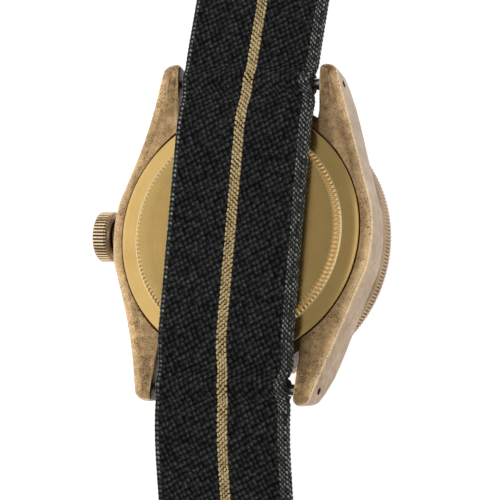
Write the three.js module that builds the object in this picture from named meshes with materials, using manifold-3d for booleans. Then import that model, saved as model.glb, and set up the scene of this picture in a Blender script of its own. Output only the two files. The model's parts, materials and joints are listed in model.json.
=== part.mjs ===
// A bronze dive watch on a one-piece woven strap, lying face down with the strap laid open.
// Millimetres. +Z is up, out of the case back; +Y points to 12 o'clock; the crown is at -X.
// The origin is on the watch's axis, on the plane that the crystal rests on.
import * as THREE from "three";
import { mergeVertices } from "three/addons/utils/BufferGeometryUtils.js";
import Module from "manifold-3d";

const wasm = await Module();
wasm.setup();

// ---------------------------------------------------------------- driving dimensions
const CASE_R = 20.9; // flank of the mid-case
const BEZEL_R = 20.5; // over the bezel's coin edge
const LUG_GAP = 23; // between the lugs
const LUG_TIP_Y = 26; // half of the 52 mm from lug to lug
const BAR_Y = 23.2; // spring bar axes
const BAR_Z = 11;
const BAR_R = 0.9;
const BAR_BORE_R = 0.6;
const BAR_PIN_R = 0.45;
const CROWN_Z = 8.2; // crown and stem axis
const CROWN_R = 3.75;

// Heights, from the crystal up to the strap.
const INSERT_Z = 1.0;
const BEZEL_LOW = 1.5;
const BEZEL_HIGH = 4.9;
const CASE_LOW = 5.1;
const CASE_HIGH = 12.4;
const LUG_HIGH = 14.3;
const DIAL_Z = 5.9;
const BACK_TOP = 14.4;

// Bores and fits in the case.
const NECK_R = 16.5; // turret that carries the crystal and the bezel
const SEAT_R = 15.6; // crystal and dial bore
const CAVITY_R = 16.6; // movement bore
const THREAD_R = 18.1; // case back thread
const BACK_SEAT_R = 19.35; // recess that the case back's rim sits in
const BACK_R = 19.1;
const FIT = 0.15; // general clearance between pieces

// Strap.
const STRAP_W = 21.5;
const STRAP_T = 1.25;
const STRAP_TOP = BACK_TOP + 0.2 + STRAP_T;
const BUCKLE_Y = 101; // axis of the buckle's bar
const BUCKLE_Z = 2.1;
const TAIL_Y = -150; // tip of the tail
const HOLES = 6;
const HOLE_R = 0.95;
const HOLE_PITCH = 6.5;
const TUNNEL_R = 1.8; // outside of the woven tunnels round the spring bars
const FLAT_Z = STRAP_T / 2 + 0.05; // middle of the strap where it lies on the surface
const KEEPER_WALL = 0.9;
const LIFTED_Z = FLAT_Z + KEEPER_WALL; // the buckle's end rests on the keepers

// Hinges of the strap's stiff lengths, as distances from the watch's centre along Y.
const NEAR_START = 26.2; // clear of the strap over the case back when it swings up
const BEND_1 = 46;
const BEND_2 = 72;
const BEND_3 = 98;
const BEND_GAP = 0.9; // from each hinge to the ends of its two lengths

// Buckle.
const BUCKLE_W = 27.6;
const BUCKLE_FRONT = BUCKLE_Y + 11;
const BUCKLE_BORE_R = 0.75;

// Crystal and movement.
const CRYSTAL_R = 14.9;
const MOVEMENT_R = 15.2;

const RING_SIDES = 48;
const SMALL_SIDES = 24;
const PIN_SIDES = 12;

// ---------------------------------------------------------------- making solids
const AXES = {
  X: new THREE.Matrix4().makeBasis(
    new THREE.Vector3(0, 1, 0), new THREE.Vector3(0, 0, 1), new THREE.Vector3(1, 0, 0)),
  Y: new THREE.Matrix4().makeBasis(
    new THREE.Vector3(0, 0, 1), new THREE.Vector3(1, 0, 0), new THREE.Vector3(0, 1, 0)),
  Z: new THREE.Matrix4(),
};

function toSolid(geometry) {
  const bare = geometry.index ? geometry.toNonIndexed() : geometry.clone();
  bare.deleteAttribute("normal");
  bare.deleteAttribute("uv");
  const merged = mergeVertices(bare, 1e-4);
  return new wasm.Manifold(new wasm.Mesh({
    numProp: 3,
    vertProperties: merged.attributes.position.array,
    triVerts: new Uint32Array(merged.index.array),
  }));
}

function toGeometry(solid) {
  const mesh = solid.getMesh();
  const geometry = new THREE.BufferGeometry();
  geometry.setAttribute("position", new THREE.BufferAttribute(new Float32Array(mesh.vertProperties), 3));
  geometry.setIndex(new THREE.BufferAttribute(new Uint32Array(mesh.triVerts), 1));
  return geometry;
}

// Area that a profile of [radius, height] points turns round, positive when it runs anticlockwise.
function signedArea(points) {
  return points.reduce((sum, [x, y], i) => {
    const [nextX, nextY] = points[(i + 1) % points.length];
    return sum + (x * nextY - nextX * y) / 2;
  }, 0);
}

// A turned piece about Z from [radius, height] points. A profile that leaves the axis is closed.
function turned(profile, sides = RING_SIDES) {
  const points = signedArea(profile) > 0 ? profile.slice() : profile.slice().reverse();
  const onAxis = profile.some(([r]) => r === 0);
  if (onAxis) {
    const lowest = points.findIndex(([r], i) => r === 0 && points[(i + 1) % points.length][0] > 0);
    points.push(...points.splice(0, lowest));
  } else {
    points.push(points[0]);
  }
  const geometry = new THREE.LatheGeometry(points.map(([r, z]) => new THREE.Vector2(r, z)), sides);
  return geometry.rotateX(Math.PI / 2);
}

const ring = (inner, outer, low, high, sides) =>
  turned([[inner, low], [outer, low], [outer, high], [inner, high]], sides);
const disc = (radius, low, high, sides) =>
  turned([[0, low], [radius, low], [radius, high], [0, high]], sides);

// A turned piece whose axis lies along another direction and goes through a point.
function turnedAlong(axis, place, profile, sides = SMALL_SIDES) {
  return turned(profile, sides).applyMatrix4(AXES[axis]).translate(...place);
}

// A hole along X, through a point in the YZ plane, to take away from a solid.
function bore([y, z], radius, halfLength = 20, sides = PIN_SIDES) {
  return toSolid(turnedAlong("X", [0, y, z],
    [[0, -halfLength], [radius, -halfLength], [radius, halfLength], [0, halfLength]], sides));
}

// A flat outline pushed along an axis: along X the outline is [y, z], along Y [z, x], along Z [x, y].
function pushed(outline, low, high, axis = "Z") {
  const points = signedArea(outline) > 0 ? outline : outline.slice().reverse();
  const shape = new THREE.Shape(points.map(([x, y]) => new THREE.Vector2(x, y)));
  const geometry = new THREE.ExtrudeGeometry(shape, { depth: high - low, bevelEnabled: false });
  return geometry.translate(0, 0, low).applyMatrix4(AXES[axis]);
}

function box([x0, x1], [y0, y1], [z0, z1]) {
  return new THREE.BoxGeometry(x1 - x0, y1 - y0, z1 - z0)
    .translate((x0 + x1) / 2, (y0 + y1) / 2, (z0 + z1) / 2);
}

const polar = (radius, degrees) => {
  const turn = THREE.MathUtils.degToRad(degrees);
  return [radius * Math.cos(turn), radius * Math.sin(turn)];
};

// Points along an arc about a centre, both ends included.
function arc([cx, cy], radius, from, to, steps) {
  return Array.from({ length: steps + 1 }, (_, i) => {
    const [x, y] = polar(radius, from + ((to - from) * i) / steps);
    return [cx + x, cy + y];
  });
}

// ---------------------------------------------------------------- nodes
const watch = new THREE.Group();

function add(name, geometry, colour, metalness, roughness) {
  const material = new THREE.MeshStandardMaterial({ color: colour, metalness, roughness });
  const mesh = new THREE.Mesh(geometry, material);
  mesh.name = name;
  watch.add(mesh);
}

const bronze = (name, geometry) => add(name, geometry, 0x9c7a55, 1, 0.45);
const gold = (name, geometry) => add(name, geometry, 0xb99a5b, 1, 0.35);
const steel = (name, geometry) => add(name, geometry, 0xc4c6c8, 1, 0.25);
const brass = (name, geometry) => add(name, geometry, 0xc9a94f, 1, 0.3);
const rubber = (name, geometry) => add(name, geometry, 0x141414, 0, 0.8);
const cloth = (name, geometry) => add(name, geometry, 0x17191a, 0, 0.95);

// ---------------------------------------------------------------- mid-case
// One quarter of the case's outline, from the middle of the end wall round a lug to 3 or 9 o'clock.
function caseQuarter() {
  const inner = LUG_GAP / 2;
  const endWall = 20.6;
  const degrees = (x, y) => THREE.MathUtils.radToDeg(Math.atan2(y, x));
  const wall = arc([0, 0], CASE_R,
    degrees(Math.sqrt(CASE_R ** 2 - endWall ** 2), endWall),
    degrees(inner, Math.sqrt(CASE_R ** 2 - inner ** 2)), 3);
  const flank = new THREE.QuadraticBezierCurve(
    new THREE.Vector2(14, 24.8), new THREE.Vector2(16.1, 16.2), new THREE.Vector2(...polar(CASE_R, 14)));
  return [
    [0, endWall], ...wall,
    [inner, LUG_TIP_Y - 0.7], [inner + 0.4, LUG_TIP_Y - 0.1],
    [inner + 1.2, LUG_TIP_Y], [inner + 2, LUG_TIP_Y - 0.4],
    ...flank.getPoints(6).map((p) => [p.x, p.y]),
    ...arc([0, 0], CASE_R, 10, 0, 2),
  ];
}

function caseOutline() {
  const quarter = caseQuarter();
  const withoutEnds = quarter.slice(1, -1);
  const mirrored = (points, x, y) => points.map(([px, py]) => [px * x, py * y]);
  return [
    ...mirrored(quarter, 1, 1),
    ...mirrored(withoutEnds, 1, -1).reverse(),
    ...mirrored(quarter, -1, -1),
    ...mirrored(withoutEnds, -1, 1).reverse(),
  ];
}

// Side view of the case, [y, z]: flat over the middle, with the lugs dropping towards the wrist.
function caseSide() {
  const half = [
    [0, CASE_LOW], [17.5, CASE_LOW], [20.5, 5.7], [23, 7.2], [25, 9], [LUG_TIP_Y, 10.8],
    [LUG_TIP_Y, 13], [25.5, 13.9], [24.6, LUG_HIGH], [22, 13.8], [19, 13.1],
    [16, 12.7], [12, CASE_HIGH], [0, CASE_HIGH],
  ];
  return [...half, ...half.slice(1, -1).reverse().map(([y, z]) => [-y, z])];
}

function midCase() {
  const body = toSolid(pushed(caseOutline(), CASE_LOW - 1, LUG_HIGH + 1))
    .intersect(toSolid(pushed(caseSide(), -CASE_R - 1, CASE_R + 1, "X")));
  const neck = toSolid(disc(NECK_R, 1.8, CASE_LOW + 0.5));
  const cavity = toSolid(turned([
    [0, 1], [SEAT_R, 1], [SEAT_R, 6.5], [CAVITY_R, 6.5], [CAVITY_R, 10.4], [THREAD_R, 10.4],
    [THREAD_R, 11.8], [BACK_SEAT_R, 11.8], [BACK_SEAT_R, 15], [0, 15],
  ]));
  const tubeHole = toSolid(turnedAlong("X", [0, 0, CROWN_Z],
    [[0, -CASE_R - 2], [1.9, -CASE_R - 2], [1.9, -CAVITY_R + 1.5], [0, -CAVITY_R + 1.5]], PIN_SIDES));
  const lugHoles = [BAR_Y, -BAR_Y].map((y) => bore([y, BAR_Z], BAR_PIN_R + FIT));
  const strapWays = [1, -1].map((side) => toSolid(box(
    [-LUG_GAP / 2, LUG_GAP / 2], [side * 21 - 3, side * 21 + 3], [12.7, LUG_HIGH + 1])));
  return toGeometry([tubeHole, ...lugHoles, ...strapWays].reduce(
    (solid, hole) => solid.subtract(hole), body.add(neck).subtract(cavity)));
}
bronze("mid_case", midCase());

// ---------------------------------------------------------------- crystal, rehaut and bezel
add("crystal", turned([
  [0, 0], [4, 0], [9.5, 0.22], [13.8, 0.7], [CRYSTAL_R, 1.3], [CRYSTAL_R, 3.8], [13.6, 3.8],
  [8, 2.6], [0, 2.3],
], 36), 0xe8eef2, 0, 0.05);
add("crystal_gasket", ring(CRYSTAL_R + 0.1, SEAT_R - 0.1, 1.9, 3.9, 36), 0xe9e6dc, 0, 0.6);
add("rehaut_ring", turned([[13.4, 4], [15.45, 4], [15.45, 5.6], [14.6, 5.6]], 36), 0x2a2522, 0.6, 0.4);

bronze("bezel", turned([
  [NECK_R + FIT, 2.2], [16.85, BEZEL_LOW + 0.1], [19.4, BEZEL_LOW + 0.1], [19.5, INSERT_Z + 0.1],
  [19.8, INSERT_Z + 0.2], [BEZEL_R, 2.1], [BEZEL_R, 4.4], [20.1, BEZEL_HIGH],
  [17.9, BEZEL_HIGH], [17.9, 3.9], [NECK_R + FIT, 3.9],
]));
add("bezel_insert", turned([
  [16.95, BEZEL_LOW], [19.3, BEZEL_LOW], [19.3, INSERT_Z + 0.1], [16.95, INSERT_Z - 0.1],
]), 0x4d3a2c, 0.5, 0.5);
add("bezel_pip", disc(0.9, INSERT_Z - 0.35, INSERT_Z - 0.15, PIN_SIDES).translate(0, 18.1, 0),
  0xe8e2c0, 0, 0.5);
steel("bezel_click_spring", pushed([
  ...arc([0, 0], 17.6, 205, 335, 9), ...arc([0, 0], 16.9, 335, 205, 9),
], 4.15, 4.75));

// ---------------------------------------------------------------- case back and seals
bronze("case_back", turned([
  [0, 13.3], [15.4, 13.3], [16.4, 12.6], [17, 12.2], [17, 11], [17.9, 11], [17.9, 12.3], [BACK_R, 12.3],
  [BACK_R, 12.6], [19, 12.72], [16.8, 13.1], [16.4, 13.35], [15.75, BACK_TOP],
  [14.95, BACK_TOP], [14.85, BACK_TOP - 0.12], [11.3, BACK_TOP - 0.12], [11.2, BACK_TOP], [0, BACK_TOP],
]));
rubber("case_back_gasket", ring(18.25, 19, 11.92, 12.2, 36));

// ---------------------------------------------------------------- crown, tube and stem
// Profiles run outwards along -X, so heights here are negative X.
const alongStem = (profile, sides) => turnedAlong("X", [0, 0, CROWN_Z], profile, sides);
bronze("crown_tube", alongStem([
  [1.15, -17], [1.75, -17], [1.75, -20.95], [2.4, -21.05], [2.4, -22.7], [1.15, -22.7],
], SMALL_SIDES));
bronze("crown", alongStem([
  [0, -25.1], [2.4, -25], [3.4, -24.7], [CROWN_R, -24.2], [CROWN_R, -21.8], [3.4, -21.4],
  [2.6, -21.4], [2.6, -23.4], [0, -23.4],
], RING_SIDES));
rubber("crown_gasket", alongStem([[1.35, -22.85], [2.4, -22.85], [2.4, -23.25], [1.35, -23.25]], PIN_SIDES));
steel("winding_stem", alongStem([
  [0, -9.5], [0.45, -9.5], [0.45, -19], [0.8, -19.3], [0.8, -23.2], [0, -23.2],
], PIN_SIDES));
steel("winding_pinion", alongStem([[0.6, -10.6], [1.4, -10.6], [1.4, -13.2], [0.6, -13.2]], PIN_SIDES));

// ---------------------------------------------------------------- dial and hands
function dial() {
  const plate = toSolid(ring(1.4, 15.3, DIAL_Z, DIAL_Z + 0.4, 36));
  const markers = Array.from({ length: 12 }, (_, hour) => {
    const [x, y] = polar(11.9, 90 + 30 * hour);
    const high = DIAL_Z + 0.05;
    const low = DIAL_Z - 0.3;
    if (hour % 3) return disc(0.95, low, high, 8).translate(x, y, 0);
    const marker = hour ? box([-1.6, 1.6], [-0.55, 0.55], [low, high])
      : pushed([[-1.7, 1.1], [-1.7, -1.1], [1.5, 0]], low, high);
    return marker.rotateZ(Math.atan2(y, x) + Math.PI).translate(x, y, 0);
  });
  return toGeometry(markers.reduce((solid, marker) => solid.add(toSolid(marker)), plate));
}
add("dial", dial(), 0x3a2b20, 0.2, 0.6);

// The time that the hands show. A positive turn about Z is clockwise on the dial, which faces -Z.
const [HOURS, MINUTES, SECONDS] = [10, 9, 24];
const MINUTE_TURN = 6 * (MINUTES + SECONDS / 60);
const HOUR_TURN = 30 * HOURS + MINUTE_TURN / 12;

// A flat hand on a pipe, pointing to 12 until it is turned. The outline is [x, y].
function hand(outline, low, high, bore, pipeR, pipeTo, clock) {
  const blade = toSolid(pushed(outline, low, high)).add(toSolid(disc(pipeR + 0.5, low, high, 16)));
  const solid = blade.add(toSolid(disc(pipeR, low, pipeTo, 16)));
  const bored = bore ? solid.subtract(toSolid(disc(bore, low - 1, pipeTo + 1, 16))) : solid;
  return toGeometry(bored).rotateZ(THREE.MathUtils.degToRad(clock));
}
const SNOWFLAKE = [
  [-0.5, 0], [-0.5, 5.6], [-1.7, 7], [0, 8.7], [1.7, 7], [0.5, 5.6], [0.5, 0],
];
const SWORD = [[-0.5, -1], [-0.8, 8], [0, 13.2], [0.8, 8], [0.5, -1]];
const NEEDLE = [[-0.35, -4.2], [-0.12, 0], [-0.12, 13.2], [0.12, 13.2], [0.12, 0], [0.35, -4.2]];
gold("hour_hand", hand(SNOWFLAKE, 5.2, 5.38, 0.85, 1.15, 6.4, HOUR_TURN));
gold("minute_hand", hand(SWORD, 4.8, 4.95, 0.42, 0.72, 8.45, MINUTE_TURN));
gold("seconds_hand", hand(NEEDLE, 4.4, 4.5, 0, 0.3, 9.15, 6 * SECONDS));

// ---------------------------------------------------------------- movement
const CENTRE = [0, 0];
const BARREL_AT = [-6.5, 5.5];
const THIRD_AT = [6, -3];
const ESCAPE_AT = [-3.6, -3.9];
const PALLET_AT = [-3.3, -7.6];
const BALANCE_AT = [-2.8, -10.4];

// A wheel and pinion on one arbor; each part is [radius, low, high].
function wheel(at, parts, bore = 0) {
  const solid = parts.reduce((sum, [radius, low, high]) => {
    const piece = toSolid(disc(radius, low, high, SMALL_SIDES));
    return sum ? sum.add(piece) : piece;
  }, null);
  const drilled = bore ? solid.subtract(toSolid(disc(bore, 0, 20, PIN_SIDES))) : solid;
  return toGeometry(drilled).translate(at[0], at[1], 0);
}

function movementRing() {
  const body = toSolid(ring(MOVEMENT_R + 0.2, CAVITY_R - FIT, 6.7, 10.2, 36));
  const stemHole = toSolid(turnedAlong("X", [0, 0, CROWN_Z],
    [[0, -20], [1.4, -20], [1.4, -14], [0, -14]], PIN_SIDES));
  return toGeometry(body.subtract(stemHole));
}
add("movement_ring", movementRing(), 0xb8b9bb, 0.9, 0.4);
function mainPlate() {
  const plate = toSolid(disc(MOVEMENT_R, 6.5, 8.2, 36));
  const centreHole = toSolid(disc(1.35, 6, 9, 16));
  const stemSlot = toSolid(box([-16, -9], [-1.9, 1.9], [6.75, 8.6]));
  return toGeometry(plate.subtract(centreHole).subtract(stemSlot));
}
add("main_plate", mainPlate(), 0xa9aaa8, 1, 0.35);

brass("mainspring_barrel", wheel(BARREL_AT, [[5.6, 8.95, 10.4], [0.8, 8.4, 10.85]]));
brass("centre_wheel", wheel(CENTRE, [[4.9, 8.5, 8.8], [2.2, 8.75, 9.1]], 0.45));
brass("third_wheel", wheel(THIRD_AT, [[4.4, 9.3, 9.6], [1.6, 8.45, 9.35], [0.3, 8.3, 10.9]]));
brass("fourth_wheel", wheel(CENTRE, [[3.9, 10.6, 10.9], [2, 9.25, 9.7], [0.5, 9.65, 10.65]]));
steel("escape_wheel", wheel(ESCAPE_AT, [[2.48, 9.2, 9.45], [0.4, 8.35, 10.6], [1.15, 10.55, 10.95]]));

steel("pallet_fork", pushed([
  [-1.9, 1.1], [-1.5, 1.25], [-0.5, 0.6], [0.5, 0.6], [1.5, 1.25], [1.9, 1.1], [0.5, -0.2],
  [0.3, -1.7], [0.7, -2.2], [0.4, -2.3], [0, -1.9], [-0.4, -2.3], [-0.7, -2.2], [-0.3, -1.7],
  [-0.5, -0.2],
], 9.2, 9.45).translate(PALLET_AT[0], PALLET_AT[1], 0));

function balanceWheel() {
  const rim = toSolid(ring(3.3, 3.9, 10, 10.45, SMALL_SIDES));
  const arm = toSolid(box([-3.5, 3.5], [-0.3, 0.3], [10.05, 10.3]));
  const staff = toSolid(disc(0.35, 9.6, 10.95, PIN_SIDES));
  const roller = toSolid(disc(0.9, 9.6, 9.85, PIN_SIDES));
  const spring = toSolid(disc(1.7, 10.5, 10.7, SMALL_SIDES));
  return toGeometry([arm, staff, roller, spring].reduce((sum, s) => sum.add(s), rim))
    .translate(BALANCE_AT[0], BALANCE_AT[1], 0);
}
brass("balance_wheel", balanceWheel());

function trainBridge() {
  const plate = toSolid(pushed(
    [...arc([0, 0], MOVEMENT_R - 0.4, -25, 205, 20)], 11.05, 11.65));
  const posts = [[11.8, 5.5], [1.5, 13], [-13.3, 3.2], [12.6, -4]].map(
    ([x, y]) => toSolid(disc(0.9, 8.35, 11.2, PIN_SIDES).translate(x, y, 0)));
  return toGeometry(posts.reduce((sum, post) => sum.add(post), plate));
}
add("train_bridge", trainBridge(), 0xb4b5b3, 1, 0.35);

function balanceCock() {
  const arm = toSolid(pushed([
    [-1.4, 1.4], [-1.4, -1], [5.4, -1.9], [8.3, 1.9], [5.8, 4.1],
  ], 11.05, 11.65).translate(BALANCE_AT[0], BALANCE_AT[1], 0));
  const post = toSolid(disc(1, 8.35, 11.2, PIN_SIDES).translate(3.9, -10, 0));
  return toGeometry(arm.add(post));
}
add("balance_cock", balanceCock(), 0xb4b5b3, 1, 0.35);

steel("rotor_bearing", disc(1.7, 11.75, 12.95, SMALL_SIDES));
function rotor() {
  const weight = toSolid(pushed([...arc([0, 0], 14.4, 180, 360, 18)], 12.1, 12.9));
  const hub = toSolid(disc(3.4, 12.1, 12.9, SMALL_SIDES));
  return toGeometry(weight.add(hub).subtract(toSolid(disc(1.9, 11, 14, SMALL_SIDES))));
}
add("winding_rotor", rotor(), 0x8d8f92, 1, 0.35);

// ---------------------------------------------------------------- spring bars
for (const [hours, y] of [["12", BAR_Y], ["6", -BAR_Y]]) {
  steel(`spring_bar_${hours}`, turnedAlong("X", [0, y, BAR_Z],
    [[BAR_BORE_R, -10.7], [BAR_R, -10.7], [BAR_R, 10.7], [BAR_BORE_R, 10.7]], PIN_SIDES));
  for (const [side, sign] of [["left", 1], ["right", -1]]) {
    const pin = [[0, 7], [BAR_PIN_R, 7], [BAR_PIN_R, 13.1], [0, 13.1]].map(([r, x]) => [r, x * sign]);
    steel(`bar_pin_${hours}_${side}`, turnedAlong("X", [0, y, BAR_Z], pin, PIN_SIDES));
  }
}

// ---------------------------------------------------------------- strap
// Centreline of the strap in side view, [y, z], from the 12 o'clock end to the tip of the tail.
// It runs over the case back, over each spring bar, and down on to the surface at both ends.
const OVER_BACK_Z = STRAP_TOP - STRAP_T / 2;
const OVER_BAR = [[16, OVER_BACK_Z], [18, OVER_BACK_Z - 0.25], [20, 14.15], [21.5, 13.65]];
const ROUTE_12 = [
  [25, 12.5], [28, 12.05], [33, 11.1], [37.5, 10.3], [45, 8.6], [52, 6.4], [59, 4], [65, 2.3],
  [70, LIFTED_Z], [78, LIFTED_Z],
];
const ROUTE_6 = [
  [25, 12.9], [28, 12.3], [31, 11.6], [34, 10.6], [37.5, 9.3], [43, 7], [49, 4.5], [55, 2.4],
  [61, 1.1], [67, FLAT_Z], [76, FLAT_Z],
];
const spline = (points) => new THREE.SplineCurve(points.map(([y, z]) => new THREE.Vector2(y, z)));

// Points of one strap edge between two distances from the watch's centre.
function centreline(points, from, to, step = 2.6) {
  const samples = spline(points).getPoints(400);
  const steps = Math.max(1, Math.round((to - from) / step));
  const last = samples[samples.length - 1];
  return Array.from({ length: steps + 1 }, (_, i) => {
    const y = from + ((to - from) * i) / steps;
    if (y <= samples[0].x) return new THREE.Vector2(y, samples[0].y);
    const at = samples.findIndex((p) => p.x >= y);
    return at < 0 ? new THREE.Vector2(y, last.y) : samples[at].clone().setX(y);
  });
}

// The strap's thickness round a centreline, as an outline [y, z].
function bandOutline(line, thickness = STRAP_T) {
  const sides = line.map((point, i) => {
    const before = line[Math.max(0, i - 1)];
    const after = line[Math.min(line.length - 1, i + 1)];
    const along = after.clone().sub(before).normalize().multiplyScalar(thickness / 2);
    return [[point.x + along.y, point.y - along.x], [point.x - along.y, point.y + along.x]];
  });
  return [...sides.map(([low]) => low), ...sides.map(([, high]) => high).reverse()];
}

const band = (outline) => pushed(outline, -STRAP_W / 2, STRAP_W / 2, "X");
const mirrorY = (outline) => outline.map(([y, z]) => [-y, z]);

const towards12 = centreline(OVER_BAR, 16, BAR_Y - 2.1, 1.2);
const towards6 = towards12.map((p) => new THREE.Vector2(-p.x, p.y)).reverse();
cloth("strap_middle", band(bandOutline([...towards6, ...towards12])));

// The woven tunnel round each spring bar: the strap over the bar and a second layer under it.
function tunnel(sign) {
  const outside = arc([BAR_Y, BAR_Z], TUNNEL_R, 0, 360, 16).slice(0, -1);
  const sleeve = toSolid(band(outside));
  const solid = toGeometry(sleeve.subtract(bore([BAR_Y, BAR_Z], BAR_R + 0.2, 20, 16)));
  return sign > 0 ? solid : solid.rotateZ(Math.PI);
}
cloth("strap_tunnel_12", tunnel(1));
cloth("strap_tunnel_6", tunnel(-1));

const length = (route, from, to) => bandOutline(centreline(route, from, to));
cloth("strap_12_near", band(length(ROUTE_12, NEAR_START, BEND_1 - BEND_GAP)));
cloth("strap_12_mid", band(length(ROUTE_12, BEND_1 + BEND_GAP, BEND_2 - BEND_GAP)));
cloth("strap_6_near", band(mirrorY(length(ROUTE_6, NEAR_START, BEND_1 - BEND_GAP))));
cloth("strap_6_mid", band(mirrorY(length(ROUTE_6, BEND_1 + BEND_GAP, BEND_2 - BEND_GAP))));
cloth("strap_6_far", band(mirrorY(length(ROUTE_6, BEND_2 + BEND_GAP, BEND_3 - BEND_GAP))));

function strapTail() {
  const half = STRAP_W / 2;
  const start = -(BEND_3 + BEND_GAP);
  const tip = [[-half, start], [half, start], [half, TAIL_Y + 7], [7, TAIL_Y + 2.2], [3, TAIL_Y + 0.4],
    [0, TAIL_Y], [-3, TAIL_Y + 0.4], [-7, TAIL_Y + 2.2], [-half, TAIL_Y + 7]];
  const flat = toSolid(pushed(tip, FLAT_Z - STRAP_T / 2, FLAT_Z + STRAP_T / 2));
  const holes = Array.from({ length: HOLES }, (_, i) =>
    toSolid(disc(HOLE_R, -1, 3, PIN_SIDES).translate(0, TAIL_Y + 14 + i * HOLE_PITCH, 0)));
  return toGeometry(holes.reduce((solid, hole) => solid.subtract(hole), flat));
}
cloth("strap_6_tail", strapTail());

// The 12 o'clock end folds round the buckle's bar, with a slot for the tongue.
function strapEnd() {
  const flat = band(length(ROUTE_12, BEND_2 + BEND_GAP, BUCKLE_Y - 1.2));
  const fold = toSolid(band(arc([BUCKLE_Y, BUCKLE_Z], 1.45, 0, 360, 14).slice(0, -1)));
  const doubled = toSolid(band([
    [86, LIFTED_Z], [BUCKLE_Y - 0.8, LIFTED_Z], [BUCKLE_Y - 0.8, 3.4], [87, 3.4], [86, 2.8]]));
  const barHole = bore([BUCKLE_Y, BUCKLE_Z], 0.85);
  const slot = toSolid(box([-1.6, 1.6], [BUCKLE_Y - 4.5, BUCKLE_Y + 4], [-1, 5]));
  return toGeometry(toSolid(flat).add(doubled).add(fold).subtract(barHole).subtract(slot));
}
cloth("strap_12_end", strapEnd());

// ---------------------------------------------------------------- buckle and keepers
function buckleFrame() {
  const half = BUCKLE_W / 2;
  const outer = [[-half, BUCKLE_Y - 1.7], [half, BUCKLE_Y - 1.7], [half, BUCKLE_FRONT - 3],
    [half - 0.9, BUCKLE_FRONT - 0.9], [half - 3, BUCKLE_FRONT], [-half + 3, BUCKLE_FRONT],
    [-half + 0.9, BUCKLE_FRONT - 0.9], [-half, BUCKLE_FRONT - 3]];
  const inner = [[-half + 2.4, BUCKLE_Y - 3], [half - 2.4, BUCKLE_Y - 3],
    [half - 2.4, BUCKLE_FRONT - 4], [half - 3.8, BUCKLE_FRONT - 2.6],
    [-half + 3.8, BUCKLE_FRONT - 2.6], [-half + 2.4, BUCKLE_FRONT - 4]];
  const plate = toSolid(pushed(outer, BUCKLE_Z - 0.85, BUCKLE_Z + 0.85));
  const window = toSolid(pushed(inner, 0, 5));
  const tongueRest = toSolid(box([-1.5, 1.5], [BUCKLE_FRONT - 4, BUCKLE_FRONT + 1], [0, BUCKLE_Z - 0.2]));
  const barHoles = bore([BUCKLE_Y, BUCKLE_Z], BUCKLE_BORE_R);
  return toGeometry([window, tongueRest, barHoles].reduce((solid, cut) => solid.subtract(cut), plate));
}
bronze("buckle_frame", buckleFrame());
bronze("buckle_bar", turnedAlong("X", [0, BUCKLE_Y, BUCKLE_Z], [
  [0, -BUCKLE_W / 2 - 0.2], [0.6, -BUCKLE_W / 2 - 0.2], [0.6, BUCKLE_W / 2 + 0.2], [0, BUCKLE_W / 2 + 0.2],
], PIN_SIDES));
function tongue() {
  const eye = toSolid(pushed(arc([BUCKLE_Y, BUCKLE_Z], 1.35, 0, 360, 12).slice(0, -1), -1, 1, "X"));
  const blade = toSolid(pushed([
    [BUCKLE_Y, 0.8], [BUCKLE_FRONT - 0.2, 0.9], [BUCKLE_FRONT + 0.3, 1.25],
    [BUCKLE_FRONT - 0.3, 1.7], [BUCKLE_Y, 1.9],
  ], -1, 1, "X"));
  return toGeometry(eye.add(blade).subtract(bore([BUCKLE_Y, BUCKLE_Z], BUCKLE_BORE_R)));
}
bronze("buckle_tongue", tongue());

// A closed loop round the strap, open along Y.
function keeper(from, length) {
  const half = STRAP_W / 2 + 0.4;
  const [low, high] = [KEEPER_WALL + 0.02, 4.3];
  const wall = KEEPER_WALL - 0.03;
  const outer = toSolid(box([-half - wall, half + wall], [from, from + length], [low - wall, high + wall]));
  return toGeometry(outer.subtract(toSolid(box([-half, half], [from - 1, from + length + 1], [low, high]))));
}
cloth("keeper_fixed", keeper(89, 5));
cloth("keeper_sliding", keeper(78.5, 5));

export default watch;
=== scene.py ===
"""A bronze dive watch on a one-piece woven strap, lying face down with the strap laid open.

Dimensions are millimetres until a mesh is made. +Z is out of the case back, +Y is 12 o'clock and
the crown is at -X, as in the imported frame.
"""
import json
import math
import random

import bpy
import numpy as np
from mathutils import Matrix, Vector


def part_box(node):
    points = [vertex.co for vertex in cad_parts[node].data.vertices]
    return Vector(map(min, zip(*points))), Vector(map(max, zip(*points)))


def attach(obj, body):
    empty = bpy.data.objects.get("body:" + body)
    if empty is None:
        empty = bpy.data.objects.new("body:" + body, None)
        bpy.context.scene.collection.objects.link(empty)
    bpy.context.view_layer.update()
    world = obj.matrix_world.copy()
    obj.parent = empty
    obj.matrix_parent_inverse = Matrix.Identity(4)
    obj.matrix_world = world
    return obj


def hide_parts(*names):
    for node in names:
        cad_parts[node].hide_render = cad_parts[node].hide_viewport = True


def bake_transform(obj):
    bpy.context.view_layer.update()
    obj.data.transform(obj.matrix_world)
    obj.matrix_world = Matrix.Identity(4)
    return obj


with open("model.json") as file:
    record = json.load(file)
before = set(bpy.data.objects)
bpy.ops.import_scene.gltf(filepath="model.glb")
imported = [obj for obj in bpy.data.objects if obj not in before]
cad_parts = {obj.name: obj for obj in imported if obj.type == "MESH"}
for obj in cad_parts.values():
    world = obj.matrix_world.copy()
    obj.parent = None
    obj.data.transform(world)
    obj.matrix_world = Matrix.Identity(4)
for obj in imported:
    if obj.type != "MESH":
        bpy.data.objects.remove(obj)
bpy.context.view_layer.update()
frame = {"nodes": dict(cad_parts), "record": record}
MM = 0.001

# ------------------------------------------------------------------ sizes taken from the frame


def node_box(node):
    """A CAD node's lowest and highest corners, in millimetres."""
    low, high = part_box(node)
    return np.array(low) / MM, np.array(high) / MM


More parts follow.
